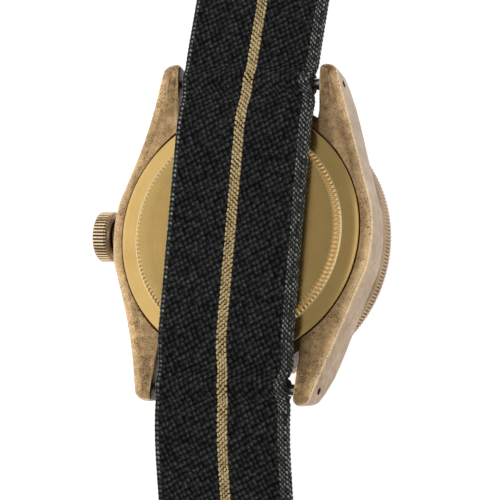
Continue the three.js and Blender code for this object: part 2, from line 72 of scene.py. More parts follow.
def joint_place(name):
    """A point on a joint's axis, in millimetres."""
    joint = next(j for j in frame["record"]["behaviour"]["joints"] if j["name"] == name)
    return np.array(joint["pos_m"]) / MM


CASE_R, LUG_TIP_Y, LUG_TOP = node_box("mid_case")[1]
BACK_R, _, BACK_TOP = node_box("case_back")[1]
BEZEL_R = node_box("bezel")[1][0]
BAR_Y, BAR_Z = joint_place("strap_12_at_bar")[1:]
CROWN_Z = joint_place("crown_turn")[2]
STRAP_W = node_box("strap_middle")[1][0] * 2
STRAP_TOP = node_box("strap_middle")[1][2]
TAIL_LOW, TAIL_HIGH = node_box("strap_6_tail")
STRAP_T = round(float(TAIL_HIGH[2] - TAIL_LOW[2]), 3)
FLAT_Z = float(TAIL_LOW[2] + TAIL_HIGH[2]) / 2
TAIL_Y = TAIL_LOW[1]
BUCKLE_Y, BUCKLE_Z = joint_place("buckle_swing")[1:]
LIFTED_Z = joint_place("strap_12_bend_2")[2]
HALVES = {"12": 1, "6": -1}  # which way each half of the strap lies along Y

# ------------------------------------------------------------------ mesh helpers


def grid_faces(rows, columns, wrap_rows=False):
    """Quads over a grid of points stored row by row, whose rows are closed loops."""
    row = np.arange(rows if wrap_rows else rows - 1)
    r, c = np.meshgrid(row, np.arange(columns), indexing="ij")
    r2, c2 = (r + 1) % rows, (c + 1) % columns
    quads = np.stack([r * columns + c, r * columns + c2, r2 * columns + c2, r2 * columns + c], -1)
    return quads.reshape(-1, 4).tolist()


def make(name, verts, faces, materials, body=None, replaces=(), slot=None, sharp=40, face_slots=None):
    """A piece from points in millimetres. It rides on a body and stands for the CAD nodes given.

    slot is not used.
    """
    mesh = bpy.data.meshes.new(name)
    mesh.from_pydata((np.asarray(verts, float) * MM).tolist(), [], faces)
    materials = materials if isinstance(materials, list) else [materials]
    for material in materials:
        mesh.materials.append(material)
    if face_slots is not None:
        mesh.polygons.foreach_set("material_index", face_slots)
    mesh.shade_smooth()
    mesh.set_sharp_from_angle(angle=math.radians(sharp))
    mesh.update()
    piece = bpy.data.objects.new(name, mesh)
    bpy.context.scene.collection.objects.link(piece)
    if body:
        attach(piece, body)
    if replaces:
        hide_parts(*replaces)
    return piece


def eased(points, size, steps=3, closed=True):
    """An outline with its corners rounded by curves that start that far from each corner."""
    points = [np.asarray(p, float) for p in points]
    count = len(points)
    out = []
    for i, point in enumerate(points):
        if not closed and i in (0, count - 1):
            out.append(point)
            continue
        before, after = points[i - 1], points[(i + 1) % count]
        back, ahead = before - point, after - point
        reach = min(size, 0.45 * np.linalg.norm(back), 0.45 * np.linalg.norm(ahead))
        first = point + back / np.linalg.norm(back) * reach
        last = point + ahead / np.linalg.norm(ahead) * reach
        for t in np.linspace(0, 1, steps + 1):
            out.append((1 - t) ** 2 * first + 2 * t * (1 - t) * point + t ** 2 * last)
    return np.array(out)


def turned(profile, sides, pattern=None, closed=False):
    """Points and faces of a turned piece about Z, from [radius, height] rows.

    A row with a third value is cut in by that much where pattern(angles) is 1.
    A profile that isn't closed may end on the axis, and gets a point there.
    """
    angles = np.arange(sides) * 2 * math.pi / sides
    profile = [tuple(p) for p in profile]
    starts_on_axis = not closed and profile[0][0] == 0
    ends_on_axis = not closed and profile[-1][0] == 0
    rows = []
    for radius, height, *cut in profile[int(starts_on_axis):len(profile) - int(ends_on_axis)]:
        r = np.full(sides, radius)
        if cut:
            r = r - cut[0] * pattern(angles)
        rows.append(np.stack([r * np.cos(angles), r * np.sin(angles), np.full(sides, height)], 1))
    verts = np.concatenate(rows)
    faces = grid_faces(len(rows), sides, wrap_rows=closed)
    around = [(c, (c + 1) % sides) for c in range(sides)]
    if starts_on_axis:
        faces += [[b, a, len(verts)] for a, b in around]
        verts = np.concatenate([verts, [[0, 0, profile[0][1]]]])
    if ends_on_axis:
        last = (len(rows) - 1) * sides
        faces += [[last + a, last + b, len(verts)] for a, b in around]
        verts = np.concatenate([verts, [[0, 0, profile[-1][1]]]])
    return verts, faces


def rod(radius, start, end, sides=24):
    """A plain cylinder along Z."""
    return turned([(0, start), (radius, start), (radius, end), (0, end)], sides)


def sleeve(inner, outer, half, ease, sides):
    """A tube along Z with eased ends."""
    profile = [(inner, -half), (outer, -half), (outer, half), (inner, half)]
    return turned(eased(profile, ease), sides, closed=True)


ALONG_X = np.array([[0, 1, 0], [0, 0, 1], [1, 0, 0]], float)


def along_x(place, shape):
    """A turned shape with its Z laid along X, through a point."""
    verts, faces = shape
    return verts @ ALONG_X + np.asarray(place, float), faces


def flipped(shape):
    """A shape turned end for end along its Z, with its faces still outwards."""
    verts, faces = shape
    return verts * [1, 1, -1], [face[::-1] for face in faces]


def bar(half_width, low, high):
    """A rectangle about the Y axis, as a flat outline."""
    return [(-half_width, low), (half_width, low), (half_width, high), (-half_width, high)]


def round_dial(outline, degrees):
    """A flat outline turned about the watch's axis, the way that the hands go."""
    turn = math.radians(degrees)
    rotation = np.array([[math.cos(turn), math.sin(turn)], [-math.sin(turn), math.cos(turn)]])
    return np.array(outline) @ rotation


def pushed(outline, low, high, ease=0.0, steps=2):
    """A flat [x, y] outline pushed from one height to another, with eased long edges."""
    outline = np.asarray(outline, float)
    area = 0.5 * np.sum(outline[:, 0] * np.roll(outline[:, 1], -1)
                        - np.roll(outline[:, 0], -1) * outline[:, 1])
    if area < 0:
        outline = outline[::-1]
    inward = inward_normals(outline)
    levels = [(ease * (1 - math.sin(t)), low + ease * (1 - math.cos(t)))
              for t in np.linspace(0, math.pi / 2, steps + 1)] if ease else [(0, low)]
    levels += [(inset, high - (height - low)) for inset, height in reversed(levels)]
    rows = [np.column_stack([outline + inward * inset, np.full(len(outline), height)])
            for inset, height in levels]
    count = len(outline)
    faces = grid_faces(len(rows), count)
    faces.append(list(range(count))[::-1])
    faces.append([(len(rows) - 1) * count + i for i in range(count)])
    return np.concatenate(rows), faces


def inward_normals(outline):
    """Unit normals of an anticlockwise closed outline, pointing in, mitred at its corners."""
    before = outline - np.roll(outline, 1, axis=0)
    after = np.roll(outline, -1, axis=0) - outline
    unit = [d / np.maximum(np.linalg.norm(d, axis=1, keepdims=True), 1e-9) for d in (before, after)]
    sides = [np.column_stack([-d[:, 1], d[:, 0]]) for d in unit]
    total = sides[0] + sides[1]
    total /= np.maximum(np.linalg.norm(total, axis=1, keepdims=True), 1e-9)
    cosine = np.clip(np.sum(total * sides[0], axis=1, keepdims=True), 0.5, 1)
    return total / cosine


def joined(shapes):
    """Several shapes as one list of points and one of faces."""
    verts, faces, offset = [], [], 0
    for v, f in shapes:
        verts.append(np.asarray(v))
        faces += [[i + offset for i in face] for face in f]
        offset += len(v)
    return np.concatenate(verts), faces


def travelled(line):
    """Distance along a line, at each of its points."""
    return np.concatenate([[0], np.cumsum(np.linalg.norm(np.diff(line, axis=0), axis=1))])


def resampled(table, count):
    """Rows at even travel along a table whose first two columns are a line's points."""
    travel = travelled(table[:, :2])
    even = np.linspace(0, travel[-1], count)
    return np.column_stack([np.interp(even, travel, column) for column in table.T])


def evenly(line, step):
    """A line of [distance, height] points at even travel along it."""
    return resampled(line, max(2, int(round(travelled(line)[-1] / step)) + 1))


def bezier(a, b, c, count):
    """Points along a curve from a to c that leans towards b."""
    t = np.linspace(0, 1, count)[:, None]
    a, b, c = (np.asarray(p, float) for p in (a, b, c))
    return (1 - t) ** 2 * a + 2 * t * (1 - t) * b + t ** 2 * c


def circle_points(radius, start, end, count):
    """Points along a circle about the origin, between two angles in degrees."""
    angles = np.radians(np.linspace(start, end, count))
    return np.column_stack([radius * np.cos(angles), radius * np.sin(angles)])


def smooth_step(low, high, value):
    """0 below low, 1 above high, and a smooth rise between them."""
    t = np.clip((np.asarray(value, float) - low) / (high - low), 0, 1)
    return t * t * (3 - 2 * t)


# ------------------------------------------------------------------ materials


class Graph:
    """A short way to write a material's nodes. Texture space is the object's own, in millimetres."""

    def __init__(self, name):
        self.material = bpy.data.materials.new(name)
        self.material.use_nodes = True
        self.tree = self.material.node_tree
        self.shader = self.tree.nodes["Principled BSDF"]
        coordinates = self.tree.nodes.new("ShaderNodeTexCoord")
        scale = self.tree.nodes.new("ShaderNodeVectorMath")
        scale.operation = "SCALE"
        scale.inputs["Scale"].default_value = 1 / MM
        self.tree.links.new(coordinates.outputs["Object"], scale.inputs[0])
        self.place = scale.outputs[0]

    def node(self, kind, inputs=None, **settings):
        made = self.tree.nodes.new(kind)
        for key, value in settings.items():
            setattr(made, key, value)
        for key, value in (inputs or {}).items():
            self.put(made.inputs[key], value)
        return made

    def put(self, socket, value):
        if isinstance(value, bpy.types.NodeSocket):
            self.tree.links.new(value, socket)
        else:
            socket.default_value = value

    def set(self, **values):
        for key, value in values.items():
            self.put(self.shader.inputs[key.replace("_", " ")], value)

    def stretched(self, scale):
        return self.node("ShaderNodeMapping", {"Vector": self.place, "Scale": scale}).outputs[0]

    def noise(self, scale, detail=3.0, roughness=0.55, vector=None):
        made = self.node("ShaderNodeTexNoise", {
            "Vector": vector or self.place, "Scale": scale, "Detail": detail,
            "Roughness": roughness})
        return made.outputs["Fac"]

    def ramp(self, value, low, high, start=0.0, end=1.0):
        made = self.node("ShaderNodeMapRange", {
            "Value": value, "From Min": low, "From Max": high, "To Min": start, "To Max": end})
        return made.outputs[0]

    def math(self, operation, a, b=0.0):
        made = self.node("ShaderNodeMath", operation=operation)
        self.put(made.inputs[0], a)
        self.put(made.inputs[1], b)
        return made.outputs[0]

    def plus(self, a, b):
        return self.math("ADD", a, b)

    def times(self, a, b):
        return self.math("MULTIPLY", a, b)

    def mix(self, factor, a, b):
        made = self.node("ShaderNodeMix", data_type="RGBA")
        self.put(made.inputs[0], factor)
        self.put(made.inputs[6], a if isinstance(a, bpy.types.NodeSocket) else (*a, 1))
        self.put(made.inputs[7], b if isinstance(b, bpy.types.NodeSocket) else (*b, 1))
        return made.outputs[2]

    def painted(self, name):
        """The red, green, blue and alpha of a colour that the mesh's points carry."""
        stored = self.node("ShaderNodeAttribute", attribute_name=name)
        parts = self.node("ShaderNodeSeparateColor", {"Color": stored.outputs["Color"]})
        return parts.outputs[0], parts.outputs[1], parts.outputs[2], stored.outputs["Alpha"]

    def bump(self, height, distance, strength):
        made = self.node("ShaderNodeBump", {
            "Height": height, "Distance": distance * MM, "Strength": strength})
        self.put(self.shader.inputs["Normal"], made.outputs[0])


GREYED = (0.45, 0.34, 0.24), (0.28, 0.2, 0.138)  # light and dark
# painted highlight: pale gold laid along edges where the lamps catch them
HIGHLIGHT_PAINT = (0.88, 0.68, 0.44)
# painted shade: near black laid where shade falls, between the lugs, in the knurls and under the crown
SHADE_PAINT = (0.06, 0.03, 0.016)
TOOTH_BRONZE = (0.84, 0.68, 0.42)  # between the case back's notches


def shaded(colour, share):
    """A colour darkened to a share of itself."""
    return tuple(c * share for c in colour)


def aged_bronze(name, light, dark, spots=0.55, rough=(0.34, 0.46), zoned=False):
    """Bronze with a brown skin: clouds of colour, dark pits and a fine satin grain.

    A zoned mesh carries where its skin differs: red is brown, green is greyed, blue is a painted
    highlight and alpha is painted shade.
    """
    g = Graph(name)
    clouds = g.ramp(g.noise(0.2, 4, 0.6), 0.36, 0.66)
    mottle = g.ramp(g.noise(1.1, 5, 0.7), 0.35, 0.7)
    grain = g.ramp(g.noise(4.5, 3, 0.75), 0.38, 0.62)
    tone = g.plus(g.times(clouds, 0.42), g.times(mottle, 0.36))
    tone = g.plus(tone, g.times(grain, 0.22))
    colour = g.mix(tone, light, dark)
    specks = g.ramp(g.noise(4.4, 3, 0.75), 0.55, 0.61)
    where = g.ramp(g.noise(0.45, 5, 0.75), 0.4, 0.56)
    fine = g.noise(9, 3, 0.6)
    if zoned:
        brown, grey, bright, painted_shade = g.painted("zone")
        patchy = g.ramp(g.noise(0.8, 5, 0.75), 0.25, 0.62)
        colour = g.mix(g.times(brown, patchy), colour, shaded(dark, 0.6))
        colour = g.mix(g.times(grey, 0.85), colour, g.mix(tone, *GREYED))
        # painted highlight from the mesh's blue, then painted shade from its alpha
        colour = g.mix(bright, colour, HIGHLIGHT_PAINT)
        colour = g.mix(painted_shade, colour, SHADE_PAINT)
        where = g.times(where, g.math("SUBTRACT", 1.0, grey))
    spot = g.times(g.times(specks, where), spots)
    colour = g.mix(spot, colour, shaded(dark, 0.22))
    g.set(Base_Color=colour, Metallic=0.9)
    roughness = g.plus(g.ramp(tone, 0, 1, *rough), g.ramp(fine, 0.3, 0.7, -0.05, 0.05))
    g.set(Roughness=g.plus(roughness, g.times(spot, 0.25)))
    height = g.math("SUBTRACT", g.times(fine, 0.4), spot)
    g.bump(height, 0.02, 0.6)
    return g.material


def brushed_back(name, light, dark):
    """Golden bronze turned on a lathe: fine rings about the watch's axis, and a few soft stains."""
    g = Graph(name)
    parts = g.node("ShaderNodeSeparateXYZ", {"Vector": g.place})
    squares = g.plus(g.times(parts.outputs[0], parts.outputs[0]),
                     g.times(parts.outputs[1], parts.outputs[1]))
    radius = g.math("SQRT", squares)
    ringed = g.node("ShaderNodeCombineXYZ", {"X": radius, "Y": parts.outputs[2]}).outputs[0]
    rings = g.noise(7, 4, 0.75, ringed)
    stains = g.ramp(g.noise(0.25, 4, 0.6), 0.35, 0.7, 0, 0.45)
    colour = g.mix(stains, light, dark)
    colour = g.mix(g.ramp(rings, 0.35, 0.75, 0, 0.35), colour, dark)
    blasted = g.ramp(radius, 13.6, 13.35)
    colour = g.mix(g.times(blasted, 0.25), colour, dark)
    toothed = g.times(g.ramp(radius, 15.5, 15.6), g.ramp(radius, 16.7, 16.6))
    colour = g.mix(g.times(toothed, 0.45), colour, TOOTH_BRONZE)
    g.set(Base_Color=colour, Metallic=0.95)
    g.set(Roughness=g.plus(g.ramp(rings, 0.3, 0.7, 0.19, 0.26), g.times(blasted, 0.04)))
    g.bump(rings, 0.006, 0.5)
    return g.material


def plain_metal(name, colour, rough=0.25, grain=(1, 1, 12)):
    """Turned or brushed metal with fine lines along its long side."""
    g = Graph(name)
    lines = g.noise(6, 3, 0.6, g.stretched(grain))
    cloud = g.noise(0.5, 3)
    shade = g.ramp(g.plus(g.times(lines, 0.5), g.times(cloud, 0.5)),
                   0.3, 0.7)
    g.set(Base_Color=g.mix(shade, shaded(colour, 0.82), colour), Metallic=1.0)
    g.set(Roughness=g.ramp(lines, 0.3, 0.7, rough * 0.8, rough * 1.25))
    g.bump(lines, 0.004, 0.5)
    return g.material


def matt(name, colour, rough=0.6, grain=8.0, depth=0.01):
    """Painted, moulded or anodised surfaces with a fine tooth."""
    g = Graph(name)
    tooth = g.noise(grain, 3, 0.6)
    cloud = g.noise(0.4, 3)
    g.set(Base_Color=g.mix(g.ramp(cloud, 0.3, 0.7), shaded(colour, 0.85), colour))
    g.set(Roughness=g.ramp(tooth, 0.3, 0.7, rough * 0.85, min(1, rough * 1.15)))
    g.bump(tooth, depth, 0.6)
    return g.material


def crystal_glass(name):
    """Sapphire with the faintest wear in its polish."""
    g = Graph(name)
    wear = g.noise(2, 2)
    g.set(Base_Color=(0.97, 0.98, 1, 1), Roughness=g.ramp(wear, 0.3, 0.8, 0.0, 0.03))
    g.set(IOR=1.76, Transmission_Weight=1.0)
    return g.material


def woven(name):
    """The strap's cloth. The mesh carries its weave: red is a raised thread, whose light colour is a
    painted highlight, green a pale fleck, blue a dark melted edge and alpha the cloth beneath the stripe.
    """
    g = Graph(name)
    raised, fleck, melted, striped = g.painted("weave")
    fibre = g.noise(14, 3, 0.7)
    patches = g.ramp(g.noise(0.35, 3), 0.3, 0.7)
    base = g.mix(patches, (0.0022, 0.0025, 0.0025), (0.0045, 0.005, 0.0048))
    # painted highlight: the raised floats are made far lighter than the base, as light catching them
    thread = g.mix(fibre, (0.03, 0.032, 0.032), (0.3, 0.31, 0.305))
    uneven = g.ramp(g.noise(3.2, 3, 0.65), 0.38, 0.62, 0.2, 1.0)
    lit = g.times(g.ramp(fibre, 0.25, 0.7, 0.55, 1.0), uneven)
    colour = g.mix(g.times(raised, lit), base, thread)
    pale = g.mix(fibre, (0.62, 0.64, 0.54), (1.0, 1.0, 0.9))
    colour = g.mix(g.times(fleck, g.ramp(fibre, 0.3, 0.6, 0.5, 1.0)), colour, pale)
    colour = g.mix(striped, colour, (0.06, 0.035, 0.012))
    colour = g.mix(melted, colour, (0.003, 0.003, 0.003))
    g.set(Base_Color=colour, Roughness=g.ramp(fibre, 0, 1, 0.72, 0.95))
    g.set(Specular_IOR_Level=0.04)
    g.bump(fibre, 0.06, 0.8)
    return g.material


def stripe_thread(name):
    """Khaki thread of the centre stripe. The mesh's blue is how dark a thread is."""
    g = Graph(name)
    shade = g.painted("weave")[2]
    fibre = g.noise(11, 3, 0.7)
    colour = g.mix(g.ramp(fibre, 0.3, 0.7), (0.62, 0.41, 0.155), (1.0, 0.84, 0.47))
    colour = g.mix(shade, colour, (0.2, 0.12, 0.04))
    g.set(Base_Color=colour, Roughness=g.ramp(fibre, 0, 1, 0.65, 0.9))
    g.set(Sheen_Weight=0.1, Specular_IOR_Level=0.3)
    g.bump(fibre, 0.06, 0.8)
    return g.material


CASE_BRONZE = aged_bronze("case_bronze", (0.94, 0.65, 0.33), (0.34, 0.2, 0.095), spots=1.0, zoned=True)
FLANK_BRONZE = aged_bronze("bezel_bronze", (0.5, 0.36, 0.23), (0.34, 0.23, 0.14), spots=0.25)
CROWN_BRONZE = aged_bronze("crown_bronze", (0.66, 0.5, 0.32), (0.45, 0.31, 0.18), spots=0.2,
                           rough=(0.22, 0.32), zoned=True)
BUCKLE_BRONZE = aged_bronze("buckle_bronze", (0.5, 0.35, 0.2), (0.33, 0.21, 0.12), spots=0.4)
BACK_BRONZE = brushed_back("back_bronze", (0.63, 0.43, 0.16), (0.49, 0.31, 0.1))
STEEL = plain_metal("steel", (0.62, 0.62, 0.61), 0.22)
PLATE_STEEL = plain_metal("plate_steel", (0.6, 0.6, 0.58), 0.32, (1, 9, 1))
ROTOR_STEEL = plain_metal("rotor_steel", (0.32, 0.32, 0.33), 0.35, (9, 1, 1))
TRAIN_BRASS = plain_metal("train_brass", (0.78, 0.57, 0.2), 0.25, (3, 3, 3))
HAND_GOLD = plain_metal("hand_gold", (0.66, 0.46, 0.26), 0.25, (2, 9, 1))
NYLON = matt("nylon", (0.8, 0.78, 0.7), 0.5)
# painted shade: near black for the inside of the lug holes
HOLE_SHADE = matt("painted_hole_shade", (0.02, 0.013, 0.008), 0.8)
SEAL_RUBBER = matt("seal_rubber", (0.015, 0.015, 0.015), 0.75)
INSERT_BROWN = matt("insert_brown", (0.085, 0.045, 0.025), 0.45, 20, 0.004)
PIP = matt("pip", (0.75, 0.72, 0.55), 0.6, 12)
MARKING = matt("marking", (0.6, 0.52, 0.36), 0.5, 12)
DIAL_BROWN = matt("dial_brown", (0.045, 0.025, 0.016), 0.7, 25, 0.004)
REHAUT_BLACK = matt("rehaut_black", (0.02, 0.016, 0.013), 0.6, 20, 0.004)
SAPPHIRE = crystal_glass("sapphire")
STRAP_CLOTH = woven("strap_fabric")
STRIPE = stripe_thread("stripe_thread")
MATERIALS = {
    "case_bronze": CASE_BRONZE, "bezel_bronze": FLANK_BRONZE, "crown_bronze": CROWN_BRONZE,
    "buckle_bronze": BUCKLE_BRONZE, "back_bronze": BACK_BRONZE, "steel": STEEL,
    "plate_steel": PLATE_STEEL, "rotor_steel": ROTOR_STEEL, "train_brass": TRAIN_BRASS,
    "hand_gold": HAND_GOLD, "nylon": NYLON, "seal_rubber": SEAL_RUBBER,
    "insert_brown": INSERT_BROWN, "pip": PIP, "dial_brown": DIAL_BROWN,
    "rehaut_black": REHAUT_BLACK, "sapphire": SAPPHIRE, "strap_fabric": STRAP_CLOTH}


def dress_cad_nodes():
    """Each CAD node takes the material of its slot in the record."""
    for part in frame["record"]["subparts"]:
        node = frame["nodes"][part["node"]]
        material = MATERIALS[part["material_slot"]]
        if not node.material_slots:
            node.data.materials.append(material)
        for place in node.material_slots:
            place.material = material


# ------------------------------------------------------------------ mid-case

GROOVE_R = BACK_R + 0.17
LUG_HALF_GAP = 11.5
END_WALL_Y = 20.6
CHAMFER = 1.2  # along the flanks, on the wrist side
CHAMFER_DROP = 0.45
FLANK_END = (14.0, 24.8)
TIP_Y = LUG_TIP_Y - 0.2
QUARTER_POINTS = 260
RECESS = ((16.6, 6.5), (16.6, 10.4), (18.1, 10.4), (18.1, 11.8), (GROOVE_R, 11.8))
BORE_R = 17.2
BORE = ((16.55, 5.1), (16.5, 5.0), (16.5, 2.0), (16.3, 1.8), (15.8, 1.8), (15.6, 2.0), (15.6, 6.5))
LUG_HOLE_R = 0.53


def case_quarter():
    """A quarter of the case's outline, from 9 o'clock round a lug to the end wall.

    A row is a point, the angle that it starts from at the case back's recess, and its chamfer's width.
    """
    root_y = math.sqrt(CASE_R ** 2 - LUG_HALF_GAP ** 2)
    wall_x = math.sqrt(CASE_R ** 2 - END_WALL_Y ** 2)
    flank = np.concatenate([
        circle_points(CASE_R, 0, 12, 12),
        bezier(circle_points(CASE_R, 14, 14, 1)[0], (16.1, 16.2), FLANK_END, 60)])
    tip = eased([FLANK_END, (13.5, TIP_Y - 0.35), (12.6, TIP_Y), (11.8, TIP_Y - 0.05),
                 (LUG_HALF_GAP, TIP_Y - 0.6)], 0.5, 4, closed=False)[1:]
    inner = np.array([[LUG_HALF_GAP, y] for y in np.linspace(TIP_Y - 0.8, root_y + 0.3, 30)])
    wall = circle_points(CASE_R, math.degrees(math.atan2(root_y, LUG_HALF_GAP)) + 1.2,
                         math.degrees(math.atan2(END_WALL_Y, wall_x)), 24)
    flat = np.array([[x, END_WALL_Y] for x in np.linspace(wall_x * 0.8, 0, 8)])
    stretches = [
        (flank, (0, 44), (CHAMFER, CHAMFER)), (tip, (44, 50), (CHAMFER, 0.35)),
        (inner, (50, 57), (0.2, 0.2)), (wall, (57, 82), (0.3, 0.3)), (flat, (82, 90), (0.3, 0.3))]
    rows = [np.column_stack([outline, np.linspace(*angles, len(outline)),
                             np.linspace(*widths, len(outline))])
            for outline, angles, widths in stretches]
    return resampled(np.concatenate(rows), QUARTER_POINTS)


def case_loop():
    """The whole outline, anticlockwise from 9 o'clock, with its start angles and chamfer widths."""
    quarter = case_quarter()
    back = quarter[-2:0:-1]
    rows = np.concatenate([
        quarter,
        back * [-1, 1, -1, 1] + [0, 0, 180, 0],
        quarter * [-1, -1, 1, 1] + [0, 0, 180, 0],
        back * [1, -1, -1, 1] + [0, 0, 360, 0]])
    return rows[:, :2], rows[:, 2], rows[:, 3]


LUG_RISE = ([0, 11, 14, 17, 19.5, 22, 23.6, 24.6, 25.3, 25.8, 26.5],
            [0, 0, 0.14, 0.45, 0.85, 1.45, 1.75, 1.85, 1.6, 1.1, 0.3])
LUG_UNDER = ([0, 16, 18, 20.5, 23, 24.6, 25.6, 26.5], [5.15, 5.15, 5.3, 5.8, 7.2, 8.7, 10.2, 11.6])
LAND_Z = LUG_TOP - 1.9  # wrist side of the case beside the case back


def case_top(x, y):
    """Height of the wrist side: flat by the case back and rising to the ends of the lugs."""
    rise = np.interp(np.abs(y), *LUG_RISE)
    return LAND_Z + rise * smooth_step(10.2, 11.6, np.abs(x)) + 0.1 * smooth_step(14, 19, np.abs(y))


def case_under(_, y):
    """Height of the dial side under the lugs, which depends on y alone."""
    return np.interp(np.abs(y), *LUG_UNDER)


def build_mid_case():
    """One closed grid: up the recess, over the wrist side, down the flanks, under and up the bore.

    Each row of points also carries where the bronze is brown and greyed, and where a highlight and shade
    are painted on it.
    """
    outline, starts, widths = case_loop()
    across, along = outline.T
    inward = inward_normals(outline)
    radians = np.radians(starts)
    spokes = np.column_stack([np.cos(radians), np.sin(radians)])
    ones = np.ones(len(outline))
    towards_6 = smooth_step(0, 20, -along)
    towards_12 = smooth_step(7, 15, along)
    at_tip = smooth_step(LUG_TIP_Y - 2.2, LUG_TIP_Y - 1, np.abs(along))
    on_crown_side = smooth_step(0, 10, -across)
    # painted shade: the lugs' inner walls and the end walls under the strap are painted near black
    hidden = (np.abs(across) < LUG_HALF_GAP + 0.25) * 1.0
    rows, zones = [], []

    def add(flat, height, brown=0, grey=0, bright=0, painted_shade=0):
        rows.append(np.column_stack([flat, height]))
        zones.append(np.column_stack([ones * value for value in (brown, grey, bright, painted_shade)]))

    def add_rings(profile):
        for radius, height in profile:
            add(spokes * radius, ones * height, brown=1)

    def add_edge(inset, drop, height=case_top, **zone):
        flat = outline + inward * inset[:, None]
        add(flat, height(*flat.T) - drop, **zone)

    add_rings(RECESS + ((GROOVE_R, LAND_Z - 0.12), (GROOVE_R, LAND_Z - 0.03)))
    inner = spokes * (GROOVE_R + 0.08)
    outer = outline + inward * (widths * 1.08)[:, None]
    for share in np.linspace(0, 1, 14):
        flat = inner + (outer - inner) * share
        beside_edge = smooth_step(0.25, 0.7, share) * (1 - 0.6 * smooth_step(0.85, 1.0, share))
        brown = (0.5 + 0.1 * towards_12) * beside_edge + 0.5 * at_tip
        add(flat, case_top(*flat.T), brown=np.maximum(brown, 0.55 * towards_6))
    slope = CHAMFER_DROP / CHAMFER
    # painted highlight along the chamfer's outer edge, stronger on the crown side where the lamps catch it
    side_highlight = (0.6 + 0.4 * on_crown_side) * (1 - 0.5 * towards_6) * (1 - 0.85 * towards_12) * (1 - hidden)
    for share in (1.0, 0.85, 0.65, 0.45, 0.25, 0.1):
        brown = 0.22 * share + 0.4 * at_tip + 0.45 * towards_12 * smooth_step(0.1, 0.4, share)
        add_edge(widths * share, widths * (1 - share) ** 1.6 * slope,
                 brown=np.maximum(brown, 0.3 * towards_6),
                 bright=(1 - smooth_step(0.05, 0.5, share)) * side_highlight)
    # painted highlight: a thin bright line where the chamfer meets the flank
    add_edge(ones * 0.02, widths * slope + 0.03, bright=1 - 0.7 * towards_12)
    top_z = case_top(across, along) - widths * slope
    under_z = case_under(across, along)
    for share in np.linspace(0.02, 0.93, 9):
        taper = 0.5 * share ** 1.5
        # flank rows: brown and greyed skin, a painted highlight on the top row and painted shade on the
        # walls between the lugs
        add(outline + inward * taper, top_z + (under_z - top_z) * share, brown=0.8 * towards_6,
            grey=smooth_step(0.02, 0.2, share) * (1 - 0.3 * towards_6),
            bright=0.5 * (share < 0.05), painted_shade=hidden)
    for inset, lift in ((0.52, 0.12), (0.6, 0.03), (0.85, 0.0)):
        add_edge(ones * inset, -ones * lift, case_under, grey=0.7)
    under_inner = spokes * BORE_R
    under_outer = outline + inward * 1.0
    for share in np.linspace(0, 1, 8):
        flat = under_outer + (under_inner - under_outer) * share
        add(flat, case_under(*flat.T), brown=0.5)
    add_rings(BORE)
    faces = grid_faces(len(rows), len(outline), wrap_rows=True)
    case = make("case_middle", np.concatenate(rows), faces, CASE_BRONZE, "case", ["mid_case"])
    set_marks(case, "zone", np.concatenate(zones))
    return case


def cut_lug_holes(case):
    """The drilled holes that the spring bars' ends sit in, their walls painted near black as shade."""
    for side in (1, -1):
        cut_out(case, along_x((0, side * BAR_Y, BAR_Z), rod(LUG_HOLE_R, -20, 20)), HOLE_SHADE)


# ------------------------------------------------------------------ case back, bezel and crystal

TEETH = 150
TOOTH_SAMPLES = 10
NOTCH = 0.48
NOTCH_FOOT = (16.46, 13.2)  # radius and height
RIM_R = 15.95  # outer edge of the raised middle's rim
MIDDLE_Z = BACK_TOP - 0.02  # the case back's face inside that rim
RIDGES = 232  # of the bezel's coin edge
RIDGE_SAMPLES = 6
INSERT_IN, INSERT_OUT = (16.97, 0.92), (19.28, 1.12)  # radius and height of its face
MARKER_R = 11.9  # middle of the dial's markers


def build_case_back():
    """Turned cap with a sloped rim, and V notches pressed into the edge of its raised middle."""
    profile = [
        (0, 13.3), (15.2, 13.3), (16.3, 12.6), (17, 12), (17, 11), (17.9, 11), (17.9, 12.3),
        (BACK_R, 12.3), (BACK_R, 12.5), (BACK_R - 0.03, 12.6), (BACK_R - 0.11, 12.69),
        (BACK_R - 0.2, 12.73), (18, 12.88), (16.66, 13.1), (16.56, 13.12), (16.5, 13.16)]
    foot_r, foot_z = NOTCH_FOOT
    for share, reach in ((0, 0.15), (0.15, 0.35), (0.45, 0.6), (0.8, 0.85), (0.97, 1), (1, 1)):
        profile.append((foot_r + (RIM_R - foot_r) * share, foot_z + (BACK_TOP - foot_z) * share,
                        NOTCH * reach))
    profile += [(RIM_R - 0.03, BACK_TOP, NOTCH), (15.6, BACK_TOP), (14.2, BACK_TOP), (13.5, MIDDLE_Z),
                (13.3, MIDDLE_Z), (0, MIDDLE_Z)]

    def notches(angles):
        phase = angles * TEETH / (2 * math.pi) % 1
        return np.maximum(0, 1 - np.abs(phase - 0.5) / 0.32)

    make("case_back_cap", *turned(profile, TEETH * TOOTH_SAMPLES, notches), BACK_BRONZE, "case",
         ["case_back"], sharp=30)


def build_bezel():
    """Bezel ring with a fine coin edge."""
    profile = [
        (16.65, 2.25), (16.85, 1.6), (19.4, 1.6), (19.42, 1.15), (19.5, 1.1), (19.75, 1.14),
        (19.95, 1.3), (20.1, 1.6), (20.2, 1.85),
        (20.25, 2.0, 0.0), (20.42, 2.15, 0.12), (BEZEL_R, 2.35, 0.22), (BEZEL_R, 2.8, 0.27),
        (BEZEL_R, 3.6, 0.27), (BEZEL_R, 4.15, 0.22), (20.45, 4.4, 0.12), (20.35, 4.55, 0.0),
        (20.2, 4.75), (20.05, 4.88), (19.9, 4.9), (17.9, 4.9), (17.9, 3.9), (16.65, 3.9)]

    def coin(angles):
        return 1 - smooth_step(0.1, 0.85, np.abs(np.cos(angles * RIDGES / 2)))

    make("bezel_ring", *turned(profile, RIDGES * RIDGE_SAMPLES, coin, closed=True), FLANK_BRONZE,
         "bezel", ["bezel"], sharp=50)


